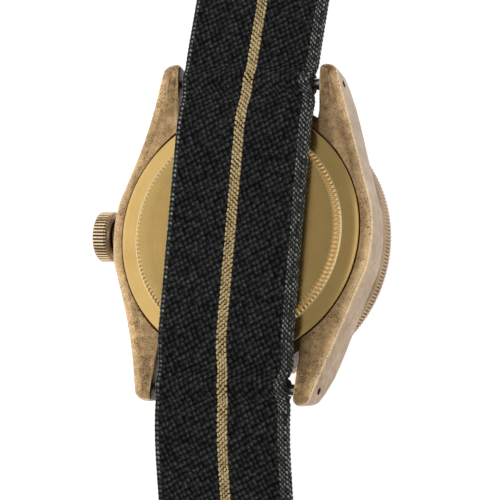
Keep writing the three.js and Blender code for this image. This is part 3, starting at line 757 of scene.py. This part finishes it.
def build_insert():
    """Bezel insert with a raised minute track: long bars each five minutes, and a triangle at 12."""
    (inner, inner_z), (outer, outer_z) = INSERT_IN, INSERT_OUT
    section = eased([(inner, 1.48), (outer, 1.48), (outer, outer_z), (inner, inner_z)], 0.06)
    make("bezel_insert_ring", *turned(section, 180, closed=True), INSERT_BROWN, "bezel",
         ["bezel_insert"])
    shapes = []
    for minute in range(60):
        if minute == 0:
            outline = [(-1.05, 18.9), (1.05, 18.9), (0, 17.35)]
        elif minute % 5 == 0:
            outline = bar(0.42 if minute % 15 == 0 else 0.24, 17.3, 18.9)
        elif minute < 15:
            outline = bar(0.1, 18.1, 18.8)
        else:
            continue
        verts, faces = pushed(round_dial(outline, 6 * minute), 0, 0.05)
        radius = np.linalg.norm(verts[:, :2], axis=1)
        verts[:, 2] += np.interp(radius, [inner, outer], [inner_z, outer_z]) - 0.04
        shapes.append((verts, faces))
    make("bezel_minute_track", *joined(shapes), MARKING, "bezel", slot="pip", sharp=30)


def build_crystal():
    """Domed crystal, thicker at its middle."""
    profile = eased([(0, 0.0), (4, 0.0), (9.5, 0.22), (13.6, 0.62)], 1.2, 5, closed=False).tolist()
    profile += eased([(13.9, 0.68), (14.9, 1.35), (14.9, 3.8), (13.6, 3.8)], 0.1, closed=False).tolist()
    profile += [(8, 2.6), (0, 2.3)]
    make("crystal_dome", *turned(profile, 144), SAPPHIRE, "case", ["crystal"])


def build_dial_plots():
    """Pale paint on the dial's raised markers: a triangle at 12, bars at 3, 6 and 9, and round dots."""
    raised = node_box("dial")[0][2]
    shapes = []
    for hour in range(12):
        if hour == 0:
            outline = [(-0.75, 1.35), (0.75, 1.35), (0, -1.0)]
        elif hour % 3 == 0:
            outline = bar(0.32, -1.35, 1.35)
        else:
            outline = circle_points(0.68, 0, 345, 24)
        outline = round_dial(np.array(outline) + [0, MARKER_R], 30 * hour)
        shapes.append(pushed(outline, raised - 0.03, raised + 0.05))
    make("dial_plots", *joined(shapes), PIP, "case", sharp=30)


# ------------------------------------------------------------------ crown

CROWN_R = 3.84
CROWN_RIDGES = 46
KNURL_SAMPLES = 12


def build_crown():
    """Knurled crown, turned about Z with heights measured from the watch's axis, then laid along -X."""
    collar = [(0, 23.5), (2.4, 23.5), (2.5, 23.4), (2.6, 21.85), (2.7, 21.75), (3.0, 21.76),
              (3.2, 21.85), (3.33, 22.0), (3.36, 22.15)]
    grip = [(3.55, 22.24, 0.14), (3.74, 22.32, 0.3), (CROWN_R, 22.42, 0.39), (CROWN_R, 22.7, 0.42),
            (CROWN_R, 23.6, 0.42), (CROWN_R, 24.25, 0.39), (3.76, 24.42, 0.3), (3.62, 24.5, 0.14)]
    face = [(3.4, 24.56), (3.28, 24.64), (3.1, 24.75), (2.6, 24.93), (1.8, 25.05), (0.9, 25.1),
            (0, 25.12)]

    def wave(angles):
        return 0.5 + 0.5 * np.cos(angles * CROWN_RIDGES)

    def knurl(angles):
        return 1 - smooth_step(0.12, 0.5, wave(angles))

    verts, faces = turned(collar + grip + face, CROWN_RIDGES * KNURL_SAMPLES, knurl)
    ridge = wave(np.arctan2(verts[:, 1], verts[:, 0]))
    height = verts[:, 2]
    knurled = (height > grip[0][1] - 0.02) & (height < grip[-1][1] + 0.02)
    # painted shade in the knurl's grooves and on the crown's underside that faces the case
    painted_shade = np.where(knurled, 0.9 * (1 - smooth_step(0.08, 0.36, ridge)), 0)
    painted_shade = np.where(height < 22.2, 0.55, painted_shade) * (np.hypot(verts[:, 0], verts[:, 1]) > 1)
    place = (0, 0, CROWN_Z)
    crown = make("crown_knurled", *along_x(place, flipped((verts, faces))), CROWN_BRONZE, "crown",
                 ["crown"], sharp=70)
    none = np.zeros_like(painted_shade)
    # painted highlight on the knurl's ridges
    set_marks(crown, "zone", np.column_stack([none, none, 0.85 * (knurled & (ridge > 0.5)), painted_shade]))
    tube = eased([(1.15, -17), (1.75, -17), (1.75, -20.8), (2.85, -20.85), (2.85, -21.6),
                  (2.45, -21.65), (2.45, -22.6), (1.15, -22.6)], 0.08)
    make("crown_sleeve", *along_x(place, turned(tube, 72, closed=True)), CROWN_BRONZE, "case",
         ["crown_tube"])


# ------------------------------------------------------------------ spring bars


BARREL_HALF = 10.68
PIN = [(0, 7), (0.45, 7), (0.45, 11.0), (0.6, 11.04), (0.64, 11.1), (0.64, 11.38), (0.61, 11.43),
       (0.42, 11.46), (0.42, 12.3), (0.34, 12.4), (0, 12.45)]


def build_bars():
    """Two spring bars: a barrel each, and a shouldered pin at both ends."""
    for hours, side in HALVES.items():
        place = (0, side * BAR_Y, BAR_Z)
        node = f"spring_bar_{hours}"
        barrel = sleeve(0.7, 0.9, BARREL_HALF, 0.1, 32)
        make(f"{node}_barrel", *along_x(place, barrel), STEEL, "case", [node])
        pin = turned(PIN, 24)
        for name, shape in (("left", pin), ("right", flipped(pin))):
            node = f"bar_pin_{hours}_{name}"
            make(f"{node}_shouldered", *along_x(place, shape), STEEL, node, [node])


# ------------------------------------------------------------------ cloth

PICK = 0.366  # weft pitch, along the strap
END = 0.33  # warp pitch, across the strap
SUB = 2  # grid points for each thread, both ways
SATIN = 5  # each warp end floats over one pick in five, two ends further on each time
FLOAT_RISE = 0.1
EDGE_SIDES = 10
STRAP_SELVEDGE = (0.85, 1.6)  # widths of the flecked edges, at low and high X
LOOP_SELVEDGE = (0.7, 0.7)


def cross_section(width, thickness):
    """[across, height, is edge] points round a band with squarish round edges, and its top columns."""
    half, edge = width / 2, thickness / 2
    columns = int(round((width - 2 * edge) / END * SUB))
    top = [(x, edge, 0) for x in np.linspace(-half + edge, half - edge, columns + 1)]
    turn = np.linspace(math.pi / 2, -math.pi / 2, EDGE_SIDES + 1)[1:-1]
    right = [(half - edge + edge * math.cos(t) ** 0.5, edge * math.copysign(abs(math.sin(t)) ** 0.6, t), 1)
             for t in turn]
    bottom = [(x, -edge, 0) for x in np.linspace(half - edge, -half + edge, columns + 1)]
    left = [(-x, y, 1) for x, y, _ in reversed(right)]
    return np.array(top + right + bottom + left), columns


def dice_at(i, j):
    """The same random number from 0 to 1 each time for a thread crossing."""
    value = np.sin(i * 12.9898 + j * 78.233) * 43758.5453
    return value - np.floor(value)


def satin(across, along_strap):
    """Height of the satin's floats, 0 to 1, at places counted in threads, and a number for each float."""
    best = np.zeros(np.broadcast(across, along_strap).shape)
    chance = np.zeros_like(best)
    for step in (-1, 0, 1, 2):
        pick = np.floor(along_strap) + step
        shift = (across - 2 * pick + SATIN / 2) % SATIN - SATIN / 2
        end = np.round(across - shift)
        slip = 0.6 * (dice_at(end + 3.3, pick) - 0.5), 0.6 * (dice_at(end, pick + 5.7) - 0.5)
        away = np.hypot((shift - slip[0]) / 1.0, (along_strap - pick - slip[1]) / 1.05)
        dome = np.cos(np.clip(away, 0, 1) * math.pi / 2)
        better = dome > best
        best = np.where(better, dome, best)
        chance = np.where(better, dice_at(end, pick), chance)
    return best, chance


def weave_marks(rows, first_row, section, columns, direction, selvedge):
    """For each point of a cloth grid: how far it stands out, and its marks for the material.

    selvedge holds the widths of the flecked edges at the low and high end of the section.
    """
    row = (np.arange(rows)[:, None] + first_row) * direction
    count = len(section)
    column = np.arange(count)[None, :]
    under = 2 * columns + EDGE_SIDES - column
    warp = np.where(column > columns + EDGE_SIDES - 1, under, column)
    edge = section[:, 2][None, :] > 0.5
    raised, chance = satin(warp / SUB, row / SUB)
    low, low_chance = satin((warp + 2.4) / SUB, (row + 1) / SUB)
    raised = np.where(edge, 0, np.maximum(raised * (0.4 + 0.6 * chance), 0.4 * low * low_chance))
    half = np.abs(section[:, 0]).max()
    low = section[:, 0] < -half + selvedge[0]
    high = section[:, 0] > half - selvedge[1]
    border = (low | high)[None, :] | edge
    site = (column % SUB == 0) & ((row + 2 * (column // SUB % 2)) % 4 == 0)
    fleck_chance = dice_at(column * 3.7, row * 1.3)
    fleck = np.where(border & site, 0.1 + 0.9 * fleck_chance ** 1.2, 0)
    fleck = np.maximum(fleck, 0.55 * np.roll(fleck, 1, axis=0)) * border
    raised = np.where(border, 0.12 + 0.2 * fleck_chance, raised)
    height = FLOAT_RISE * np.where(border, 0.7 * (fleck > 0), raised)
    marks = np.zeros((rows, count, 4))
    marks[..., 0], marks[..., 1] = raised, fleck
    return height, marks


def cloth_solid(centres, normals, across, size, first_row=0, direction=1, selvedge=STRAP_SELVEDGE,
                stripe=0, thin=None, tip=None, closed=False, slot_rows=None, holes=()):
    """A woven band along a line of centres. Returns points, faces and marks.

    size is its width and thickness, and thin and tip scale its thickness and width row by row.
    The tongue's slot is cut through slot_rows, and holes are round, as [across, Y, radius].
    """
    section, columns = cross_section(*size)
    rows, around = len(centres), len(section)
    height, marks = weave_marks(rows, first_row, section, columns, direction, selvedge)
    half, edge = size[0] / 2, size[1] / 2
    core = np.clip(section[:, 0], -half + edge, half - edge)
    outward = np.column_stack([section[:, 0] - core, section[:, 1]])
    outward /= np.linalg.norm(outward, axis=1, keepdims=True)
    thin = np.ones(rows) if thin is None else thin
    tip = np.ones(rows) if tip is None else tip
    x = (section[:, 0] + outward[:, 0] * height) * tip[:, None]
    z = (section[:, 1] + outward[:, 1] * height) * thin[:, None]
    verts = (centres[:, None, :] + x[..., None] * np.asarray(across, float)
             + z[..., None] * normals[:, None, :])
    marks[..., 3] = (np.abs(verts[..., 0]) < stripe) & (section[:, 2] < 0.5)
    open_cells = np.zeros((rows - 1, columns), bool)
    if slot_rows is not None:
        middle = (section[:columns, 0] + section[1:columns + 1, 0]) / 2
        open_cells |= slot_rows[:, None] & (np.abs(middle - SLOT_X) < SLOT_HALF)
    top = verts[:, :columns + 1]
    cells = (top[:-1, :-1] + top[1:, 1:]) / 2
    for hole_x, hole_y, radius in holes:
        open_cells |= np.hypot(cells[..., 0] - hole_x, cells[..., 1] - hole_y) < radius
    edges = cut_edges(open_cells)
    mirror = 2 * columns + EDGE_SIDES
    for row, column in {p for pair in edges for p in pair}:
        marks[row, [column, mirror - column], 2] = 1
        for hole_x, hole_y, radius in holes:
            for c in (column, mirror - column):
                away = verts[row, c, :2] - (hole_x, hole_y)
                distance = np.linalg.norm(away)
                if distance < radius * 1.5:
                    verts[row, c, :2] = (hole_x, hole_y) + away * radius / distance
    quads = np.array(grid_faces(rows, around, wrap_rows=closed)).reshape(-1, around, 4)
    keep = np.ones(quads.shape[:2], bool)
    keep[:rows - 1, :columns] &= ~open_cells
    keep[:rows - 1, mirror - columns:mirror] &= ~open_cells[:, ::-1]
    faces = quads[keep].tolist()
    for (r1, c1), (r2, c2) in edges:
        faces.append([r1 * around + c1, r2 * around + c2, r2 * around + mirror - c2,
                      r1 * around + mirror - c1])
    if not closed:
        faces.append(list(range(around))[::-1])
        faces.append([(rows - 1) * around + i for i in range(around)])
    return verts.reshape(-1, 3), faces, marks.reshape(-1, 4)


def cut_edges(open_cells):
    """The edges round the cells that are cut out, each as two [row, column] points, in winding order."""
    padded = np.pad(open_cells, 1)
    edges = []
    for row, column in np.argwhere(open_cells):
        corners = [(row, column), (row, column + 1), (row + 1, column + 1), (row + 1, column)]
        beside = [(row, column + 1), (row + 1, column + 2), (row + 2, column + 1), (row + 1, column)]
        for k, place in enumerate(beside):
            if not padded[place]:
                edges.append((tuple(map(int, corners[k])), tuple(map(int, corners[(k + 1) % 4]))))
    return edges


def set_marks(piece, name, marks):
    """Stores colours on a piece's points for its material to read."""
    attribute = piece.data.attributes.new(name, "FLOAT_COLOR", "POINT")
    attribute.data.foreach_set("color", np.asarray(marks, np.float32).ravel())


# ------------------------------------------------------------------ strap

STRIPE_HALF = 0.82
STRIPE_ENDS = 4
TUNNEL_R = 1.7
TUNNEL_W = STRAP_W - 1.7
TUNNEL_X = -0.5  # a spring bar shows at one side of its tunnel
HOLE_R, HOLE_PITCH, HOLES, FIRST_HOLE_Y = 0.95, 6.5, 6, -136
SLOT_HALF, SLOT_X, SLOT_Y = 1.6, 0.3, BUCKLE_Y - 4.5
DOUBLED_TO = 86.2  # where the cloth folded round the buckle's bar ends
FOLD_R = 1.1
CUTS = {"12": [35, 59], "6": [35, 59, 85]}  # where each half's cloth is parted into pieces
LENGTHS = {"12": ["near", "mid", "end"], "6": ["near", "mid", "far", "tail"]}
BAR_BEND, CLOTH_BEND = 2.2, 3.5  # how far a bend reaches along the strap on each side of its joint
BAR_PINCH = 0.045  # share of its width that the strap loses over a spring bar
TAIL_ROUNDING = 8.5

# Height of the strap's wrist side over the watch, at distances from its centre.
OVER_BACK = [(0, STRAP_TOP), (16.2, STRAP_TOP), (18.6, STRAP_TOP - 0.5), (20.6, 14.4), (22.2, 14.1),
             (23.6, 14.1), (25.4, 13.0)]
AFTER_12 = [(26.7, 12.9), (29.9, 12.38), (33.2, 11.72), (37.5, 10.9), (45, 9.25), (52, 7.0), (59, 4.6),
            (65, 2.95), (70, LIFTED_Z + STRAP_T / 2), (BUCKLE_Y - 5, LIFTED_Z + STRAP_T / 2)]
AFTER_6 = [(26.6, 13.1), (29, 12.7), (31.4, 12.1), (34.2, 11.15), (37.5, 9.85), (43, 7.6), (49, 5.1),
           (55, 3.0), (61, 1.72), (67, FLAT_Z + STRAP_T / 2), (-TAIL_Y, FLAT_Z + STRAP_T / 2)]


def softened(points, reach):
    """A line through points with its corners rounded off over that distance."""
    step = 0.1
    line = evenly(np.array(points, float), step)
    half = int(reach / step)
    weights = np.hanning(2 * half + 1)
    ends = (2 * line[0] - line[half:0:-1], line, 2 * line[-1] - line[-2:-half - 2:-1])
    padded = np.concatenate(ends)
    return np.column_stack([np.convolve(padded[:, k], weights / weights.sum(), "valid") for k in (0, 1)])


def line_normals(line):
    """Unit normals of a line, on its left."""
    tangent = np.gradient(line, axis=0)
    tangent /= np.maximum(np.linalg.norm(tangent, axis=1, keepdims=True), 1e-9)
    return np.column_stack([-tangent[:, 1], tangent[:, 0]])


def strap_line(after, fold=()):
    """The middle of the strap's thickness, at half picks, from the watch's centre outwards."""
    top = softened(OVER_BACK + after, 1.3)
    middle = top - line_normals(top) * STRAP_T / 2
    if len(fold):
        middle = np.concatenate([middle, softened(np.concatenate([middle[-1:], fold]), 0.8)[1:]])
    return evenly(middle, PICK / SUB)


def buckle_fold():
    """The strap's middle from its flat part round the buckle's bar and back over itself."""
    angles = np.radians(np.linspace(-90, 90, 19))
    turn = np.column_stack([BUCKLE_Y + FOLD_R * np.cos(angles), BUCKLE_Z + FOLD_R * np.sin(angles)])
    low = [(BUCKLE_Y - 3.5, LIFTED_Z - 0.1), (BUCKLE_Y - 1.8, BUCKLE_Z - FOLD_R + 0.15)]
    doubled = LIFTED_Z + STRAP_T
    high = [(BUCKLE_Y - 1.8, BUCKLE_Z + FOLD_R - 0.05), (BUCKLE_Y - 3.5, doubled + 0.15),
            (BUCKLE_Y - 5, doubled + 0.05), (DOUBLED_TO, doubled)]
    return np.concatenate([low, turn, high])


def at_bar(distance):
    """1 where the strap goes over a spring bar, fading to 0 beside it."""
    return np.exp(-((distance - BAR_Y + 0.3) / 1.7) ** 2)


def strap_shift(distance):
    """How far the strap lies off the watch's centre line: it has slipped a little under the watch."""
    return -0.3 + 0.67 * (1 - smooth_step(18, 26, distance)) - 0.5 * at_bar(distance)


def stitch():
    """One float of the stripe's thread: a long low pad."""
    rim = [(0.0, 0.5), (0.75, 0.34), (1.0, 0.0), (0.75, -0.34), (0.0, -0.5), (-0.75, -0.34),
           (-1.0, 0.0), (-0.75, 0.34)]
    lower = [(x / 2, y, 0.0) for x, y in rim]
    upper = [(x * 0.36, y * 0.82, 0.8) for x, y in rim]
    sides = len(rim)
    around = [(i, (i + 1) % sides) for i in range(sides)]
    faces = [[sides + a, sides + b, b, a] for a, b in around]
    faces += [[2 * sides, sides + b, sides + a] for a, b in around]
    faces.append(list(range(sides)))
    return np.array(lower + upper + [(0, 0, 1.0)]), faces


def stripe_solid(line, first_row, start, until):
    """Rows of raised khaki floats down the middle of both sides of a length of strap."""
    shape, shape_faces = stitch()
    dice = random.Random(11 + first_row)
    normal = line_normals(line)
    tangent = np.column_stack([normal[:, 1], -normal[:, 0]])
    stitches, shades, faces = [], [], []
    for side in (1, -1):
        for end in range(STRIPE_ENDS):
            x = (end - (STRIPE_ENDS - 1) / 2) * (2 * STRIPE_HALF / STRIPE_ENDS)
            offset = (end % 2) * 2
            for row in range(start, until - 1):
                if (row + first_row + offset) % 4:
                    continue
                size = [dice.uniform(0.38, 0.52), dice.uniform(0.62, 0.9), dice.uniform(0.18, 0.32)]
                slant = math.radians(dice.uniform(-6, 34))
                local = shape * size
                turned_x = local[:, 0] * math.cos(slant) - local[:, 1] * math.sin(slant)
                turned_y = local[:, 0] * math.sin(slant) + local[:, 1] * math.cos(slant)
                base = line[row] + side * normal[row] * (STRAP_T / 2 - 0.05)
                y = base[0] + tangent[row, 0] * turned_y + side * normal[row, 0] * local[:, 2]
                z = base[1] + tangent[row, 1] * turned_y + side * normal[row, 1] * local[:, 2]
                stitches.append(np.column_stack([x + turned_x, y, z]))
                shades.append(0.5 * dice.random() ** 2 * np.ones(len(shape)))
                first = (len(stitches) - 1) * len(shape)
                faces += [[i + first for i in (face if side > 0 else face[::-1])] for face in shape_faces]
    shade = np.concatenate(shades)
    marks = np.column_stack([np.ones_like(shade), np.zeros_like(shade), shade, np.ones_like(shade)])
    return np.concatenate(stitches), faces, marks


def strap_piece(name, line, first_row, sign, nodes, shape):
    """A length of strap with its stripe."""
    normals = np.column_stack([np.zeros(len(line)), line_normals(line)])
    centres = np.column_stack([strap_shift(line[:, 0]), line])
    cloth = cloth_solid(centres, normals, (1, 0, 0), (STRAP_W, STRAP_T), first_row, sign,
                        stripe=STRIPE_HALF, **shape)
    until = len(line)
    if "tip" in shape:
        until = int(np.argmax(shape["tip"] < 0.3)) or until
    thread = stripe_solid(line, first_row, int(first_row == 0 and sign < 0), until)
    thread = clear_of_openings(thread, shape.get("holes", ()), "slot_rows" in shape)
    verts, faces = joined([cloth[:2], thread[:2]])
    if sign > 0:
        faces = [face[::-1] for face in faces]
    slots = np.repeat([0, 1], [len(cloth[1]), len(thread[1])])
    piece = make(name, verts * [1, sign, 1], faces, [STRAP_CLOTH, STRIPE], sharp=65, face_slots=slots)
    set_marks(piece, "weave", np.concatenate([cloth[2], thread[2]]))
    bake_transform(piece)
    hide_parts(*nodes)


def clear_of_openings(thread, holes, slotted):
    """Leaves out the stripe's floats that would hang over a hole or the tongue's slot."""
    verts, faces, marks = thread
    each = len(stitch()[0])
    middles = verts.reshape(-1, each, 3).mean(axis=1)
    keep = np.ones(len(middles), bool)
    for x, y, radius in holes:
        keep &= np.hypot(middles[:, 0] - x, middles[:, 1] - y) > radius + 0.3
    if slotted:
        keep &= middles[:, 1] < SLOT_Y - 0.4
    kept = np.repeat(keep, each)
    new_place = np.cumsum(kept) - 1
    faces = [[int(new_place[i]) for i in face] for face in faces if keep[face[0] // each]]
    return verts[kept], faces, marks[kept]


def lengths(line, cuts):
    """The line cut at distances from the watch's centre, each length sharing its end point."""
    at = [0] + [int(np.argmax(line[:, 0] >= cut)) for cut in cuts] + [len(line) - 1]
    return [(line[a:b + 1], a) for a, b in zip(at, at[1:])]


def buckle_end(part):
    """How the cloth at the buckle differs: pressed thin in its fold, and slotted for the tongue."""
    travel = np.arange(len(part)) * PICK / SUB
    turn = travel[int(np.argmax(part[:, 0]))]
    folded = travel > turn
    near_bar = 1 - smooth_step(1.2, 5, np.abs(travel - turn))
    thin = np.where(folded, 0.84, 1.0) - near_bar * np.where(folded, 0.28, 0.44)
    return {"thin": thin, "slot_rows": part[:-1, 0] > SLOT_Y}


def tail_end(part):
    """How the cloth at the tail differs: a rounded end, and the row of holes."""
    left = np.clip((-TAIL_Y - part[:, 0]) / TAIL_ROUNDING, 0.02, 1)
    return {"tip": np.sqrt(np.clip(1 - (1 - left) ** 2.4, 0.02, 1)),
            "holes": [(0, -FIRST_HOLE_Y - k * HOLE_PITCH, HOLE_R) for k in range(HOLES)]}


def build_strap():
    """Both halves of the strap, each cut into lengths at set distances from the watch's centre."""
    lines = {"12": strap_line(AFTER_12, buckle_fold()), "6": strap_line(AFTER_6)}
    shape_end = {"12": buckle_end, "6": tail_end}
    for hours, sign in HALVES.items():
        bodies = ["case"] + [f"strap_{hours}_{name}" for name in LENGTHS[hours]]
        joints = [np.array([0, sign * BAR_Y, BAR_Z])]
        joints += [joint_place(f"strap_{hours}_bend_{k + 1}") for k in range(len(CUTS[hours]))]
        for i, (part, first_row) in enumerate(lengths(lines[hours], CUTS[hours])):
            nodes = [bodies[i + 1]]
            shape, reach = {}, CLOTH_BEND
            if i == 0:
                shape, reach = {"tip": 1 - BAR_PINCH * at_bar(part[:, 0])}, BAR_BEND
            if i == len(CUTS[hours]):
                shape = shape_end[hours](part)
            if i == 0 and sign > 0:
                nodes.insert(0, "strap_middle")
            strap_piece(f"strap_cloth_{hours}_{i + 1}", part, first_row, sign, nodes,
                        shape)


def woven_loop(name, path, across, place, size, body, node):
    """A closed loop of webbing round a flat path, riding on one body. Its width lies along X or Y."""
    ring = evenly(np.concatenate([path, path[:1]]), PICK / SUB)[:-1]
    first = "XY".index(across)
    plane = [axis for axis in range(3) if axis != first]
    centres = np.zeros((len(ring), 3)) + place
    centres[:, plane] += ring
    outward = np.zeros((len(ring), 3))
    outward[:, plane] = -inward_normals(ring)
    verts, faces, marks = cloth_solid(centres, outward, np.eye(3)[first], size,
                                      selvedge=LOOP_SELVEDGE, closed=True)
    if across == "X":
        faces = [face[::-1] for face in faces]
    piece = make(name, verts, faces, STRAP_CLOTH, body, [node], sharp=65)
    set_marks(piece, "weave", marks)


TUNNEL_WALL = 0.7
KEEPER_WALL = 0.8
KEEPER_LENGTH = 5
KEEPERS = {"keeper_fixed": ("strap_12_end", 91.5), "keeper_sliding": ("keeper_sliding", 81)}


def build_loops():
    """Tunnels that hold the spring bars, and the two keepers beside the buckle."""
    path = circle_points(TUNNEL_R - TUNNEL_WALL / 2, 0, 354, 60)
    for hours, sign in HALVES.items():
        woven_loop(f"strap_tunnel_{hours}_cloth", path, "X", (TUNNEL_X, sign * BAR_Y, BAR_Z),
                   (TUNNEL_W, TUNNEL_WALL), "case", f"strap_tunnel_{hours}")
    low, high = node_box("keeper_fixed")
    inset = KEEPER_WALL / 2 + FLOAT_RISE
    corners = bar(high[0] - inset, low[2] + inset, high[2] - inset)
    for node, (body, y) in KEEPERS.items():
        woven_loop(f"{node}_webbing", eased(corners, 1.1, 8), "Y", (0, y, 0),
                   (KEEPER_LENGTH, KEEPER_WALL), body, node)


# ------------------------------------------------------------------ buckle

BUCKLE_HALF = 13.8
BUCKLE_FRONT = BUCKLE_Y + 11
BUCKLE_LEG = 2.4
BUCKLE_RAIL = 2.6
BUCKLE_THICK = 1.7
BUCKLE_CORNER, RAIL_CORNER = 2.2, 1.4


def cut_out(piece, shape, material):
    """Cuts a closed shape out of a piece, and gives the cut faces a material."""
    cutter = make("cutter", *shape, material)
    cut = piece.modifiers.new("cut", "BOOLEAN")
    cut.object = cutter
    cut.solver = "EXACT"
    bpy.context.view_layer.update()
    graph = bpy.context.evaluated_depsgraph_get()
    uncut = piece.data
    result = bpy.data.meshes.new_from_object(piece.evaluated_get(graph))
    piece.modifiers.clear()
    piece.data = result
    bpy.data.meshes.remove(uncut)
    bpy.data.objects.remove(cutter)


def build_buckle():
    """Cast frame with a notch for the tongue's tip, its bar, and the tongue on the bar."""
    place = (0, BUCKLE_Y, BUCKLE_Z)
    back, front, rail = BUCKLE_Y - 1.7, BUCKLE_FRONT, BUCKLE_FRONT - BUCKLE_RAIL
    half, inner = BUCKLE_HALF, BUCKLE_HALF - BUCKLE_LEG
    right = [(inner, back), (half, back), (half, front - BUCKLE_CORNER), (half - BUCKLE_CORNER, front)]
    gap = [(RAIL_CORNER - inner, rail), (inner - RAIL_CORNER, rail), (inner, rail - RAIL_CORNER)]
    outline = right + [(-x, y) for x, y in reversed(right)] + [(-inner, rail - RAIL_CORNER)] + gap
    low = BUCKLE_Z - BUCKLE_THICK / 2
    cast = pushed(eased(outline, 1.0, 6), low, low + BUCKLE_THICK, ease=0.4, steps=4)
    buckle = make("buckle_frame_cast", *cast, BUCKLE_BRONZE, "buckle", ["buckle_frame"], sharp=45)
    cut_out(buckle, pushed(bar(1.2, rail - 1, front + 1), 0, BUCKLE_Z - 0.3), BUCKLE_BRONZE)
    hole = rod(0.66, 10, 16)
    for bore in (hole, flipped(hole)):
        cut_out(buckle, along_x(place, bore), BUCKLE_BRONZE)
    end = half + 0.15
    bar_profile = eased([(0, -end), (0.6, -end), (0.6, end), (0, end)], 0.15, closed=False)
    make("buckle_bar_turned", *along_x(place, turned(bar_profile, 32)), STEEL, "buckle", ["buckle_bar"])
    eye = along_x(place, sleeve(0.72, 1.3, 0.95, 0.2, 40))
    root = BUCKLE_Y + 0.85
    blade = eased([(root, 1.0), (front, 0.95), (front + 0.3, 1.3), (front - 0.3, 1.68), (root, 1.85)],
                  0.4, 4)
    flat, blade_faces = pushed(blade, -0.9, 0.9, ease=0.25, steps=3)
    make("buckle_tongue_bent", *joined([eye, (flat[:, [2, 0, 1]], blade_faces)]), BUCKLE_BRONZE,
         "buckle_tongue", ["buckle_tongue"], sharp=45)


# ------------------------------------------------------------------ camera, light and floor


CAMERA_TILTS = (22.99, 9.72, 4.87)  # degrees towards 9 and 6 o'clock, and of roll
CAMERA_DISTANCE = 522
CAMERA_TARGET = (0, 0, 8)
CAMERA_LENS, SENSOR_WIDTH = 249.5, 36
CAMERA_SHIFT = (-0.0008, -0.0218)
SKY_STRENGTH = 0.38
FLOOR_HALF = 6000
FLOOR_LEVEL = -0.05


def build_camera():
    """A long lens above the case back, tilted towards 9 o'clock and 6 o'clock, and rolled a little."""
    tilt_9, tilt_6, roll = (math.radians(d) for d in CAMERA_TILTS)
    back = Vector((math.sin(tilt_9) * math.cos(tilt_6), -math.sin(tilt_6),
                   math.cos(tilt_9) * math.cos(tilt_6)))
    right = Vector((math.cos(tilt_9), 0, -math.sin(tilt_9)))
    up = back.cross(right)
    rolled_right = right * math.cos(roll) + up * math.sin(roll)
    rolled_up = up * math.cos(roll) - right * math.sin(roll)
    data = bpy.data.cameras.new("camera")
    data.lens = CAMERA_LENS
    data.sensor_width = SENSOR_WIDTH
    data.shift_x, data.shift_y = CAMERA_SHIFT
    data.clip_start = 0.01
    data.clip_end = 10
    camera = bpy.data.objects.new("camera", data)
    place = Vector(CAMERA_TARGET) * MM + back * CAMERA_DISTANCE * MM
    turn = Matrix((rolled_right, rolled_up, back)).transposed()
    camera.matrix_world = Matrix.Translation(place) @ turn.to_4x4()
    bpy.context.scene.collection.objects.link(camera)
    bpy.context.scene.camera = camera


def soft_box(name, place, size, radiance, aim=(0, 0, 10)):
    """A rectangular light of a given brightness, facing the watch."""
    data = bpy.data.lights.new(name, "AREA")
    data.shape = "RECTANGLE"
    data.size, data.size_y = (side * MM for side in size)
    data.energy = radiance * math.pi * data.size * data.size_y
    light = bpy.data.objects.new(name, data)
    place, aim = Vector(place) * MM, Vector(aim) * MM
    turn = (place - aim).to_track_quat("Z", "Y").to_matrix().to_4x4()
    light.matrix_world = Matrix.Translation(place) @ turn
    light.visible_camera = False
    bpy.context.scene.collection.objects.link(light)


def build_stage():
    """White floor that stays white, a pale sky and soft boxes."""
    world = bpy.data.worlds.new("sky")
    world.use_nodes = True
    sky = world.node_tree.nodes["Background"]
    sky.inputs["Color"].default_value = (1, 1, 1, 1)
    sky.inputs["Strength"].default_value = SKY_STRENGTH
    bpy.context.scene.world = world
    bpy.context.scene.view_settings.view_transform = "Standard"
    soft_box("near_left", (-160, 30, 125), (200, 420), 0.8, aim=(-160, 30, 0))
    soft_box("low_left", (-420, 30, 150), (360, 170), 0.95)
    soft_box("low_right", (430, 80, 40), (420, 150), 0.9)
    soft_box("overhead", (360, 60, 600), (460, 500), 0.9)

    g = Graph("floor_white")
    paper = g.noise(0.05, 2)
    white = g.mix(paper, (0.985, 0.985, 0.985), (1, 1, 1))
    g.set(Base_Color=(0.3, 0.3, 0.3, 1), Roughness=1.0, Emission_Color=white, Emission_Strength=0.96)
    corners = [(x, y, FLOOR_LEVEL) for x, y in bar(FLOOR_HALF, -FLOOR_HALF, FLOOR_HALF)]
    floor = make("floor", corners, [[0, 1, 2, 3]], g.material)


dress_cad_nodes()
build_camera()
build_stage()
cut_lug_holes(build_mid_case())
build_case_back()
build_bezel()
build_insert()
build_crystal()
build_dial_plots()
build_crown()
build_bars()
build_strap()
build_loops()
build_buckle()
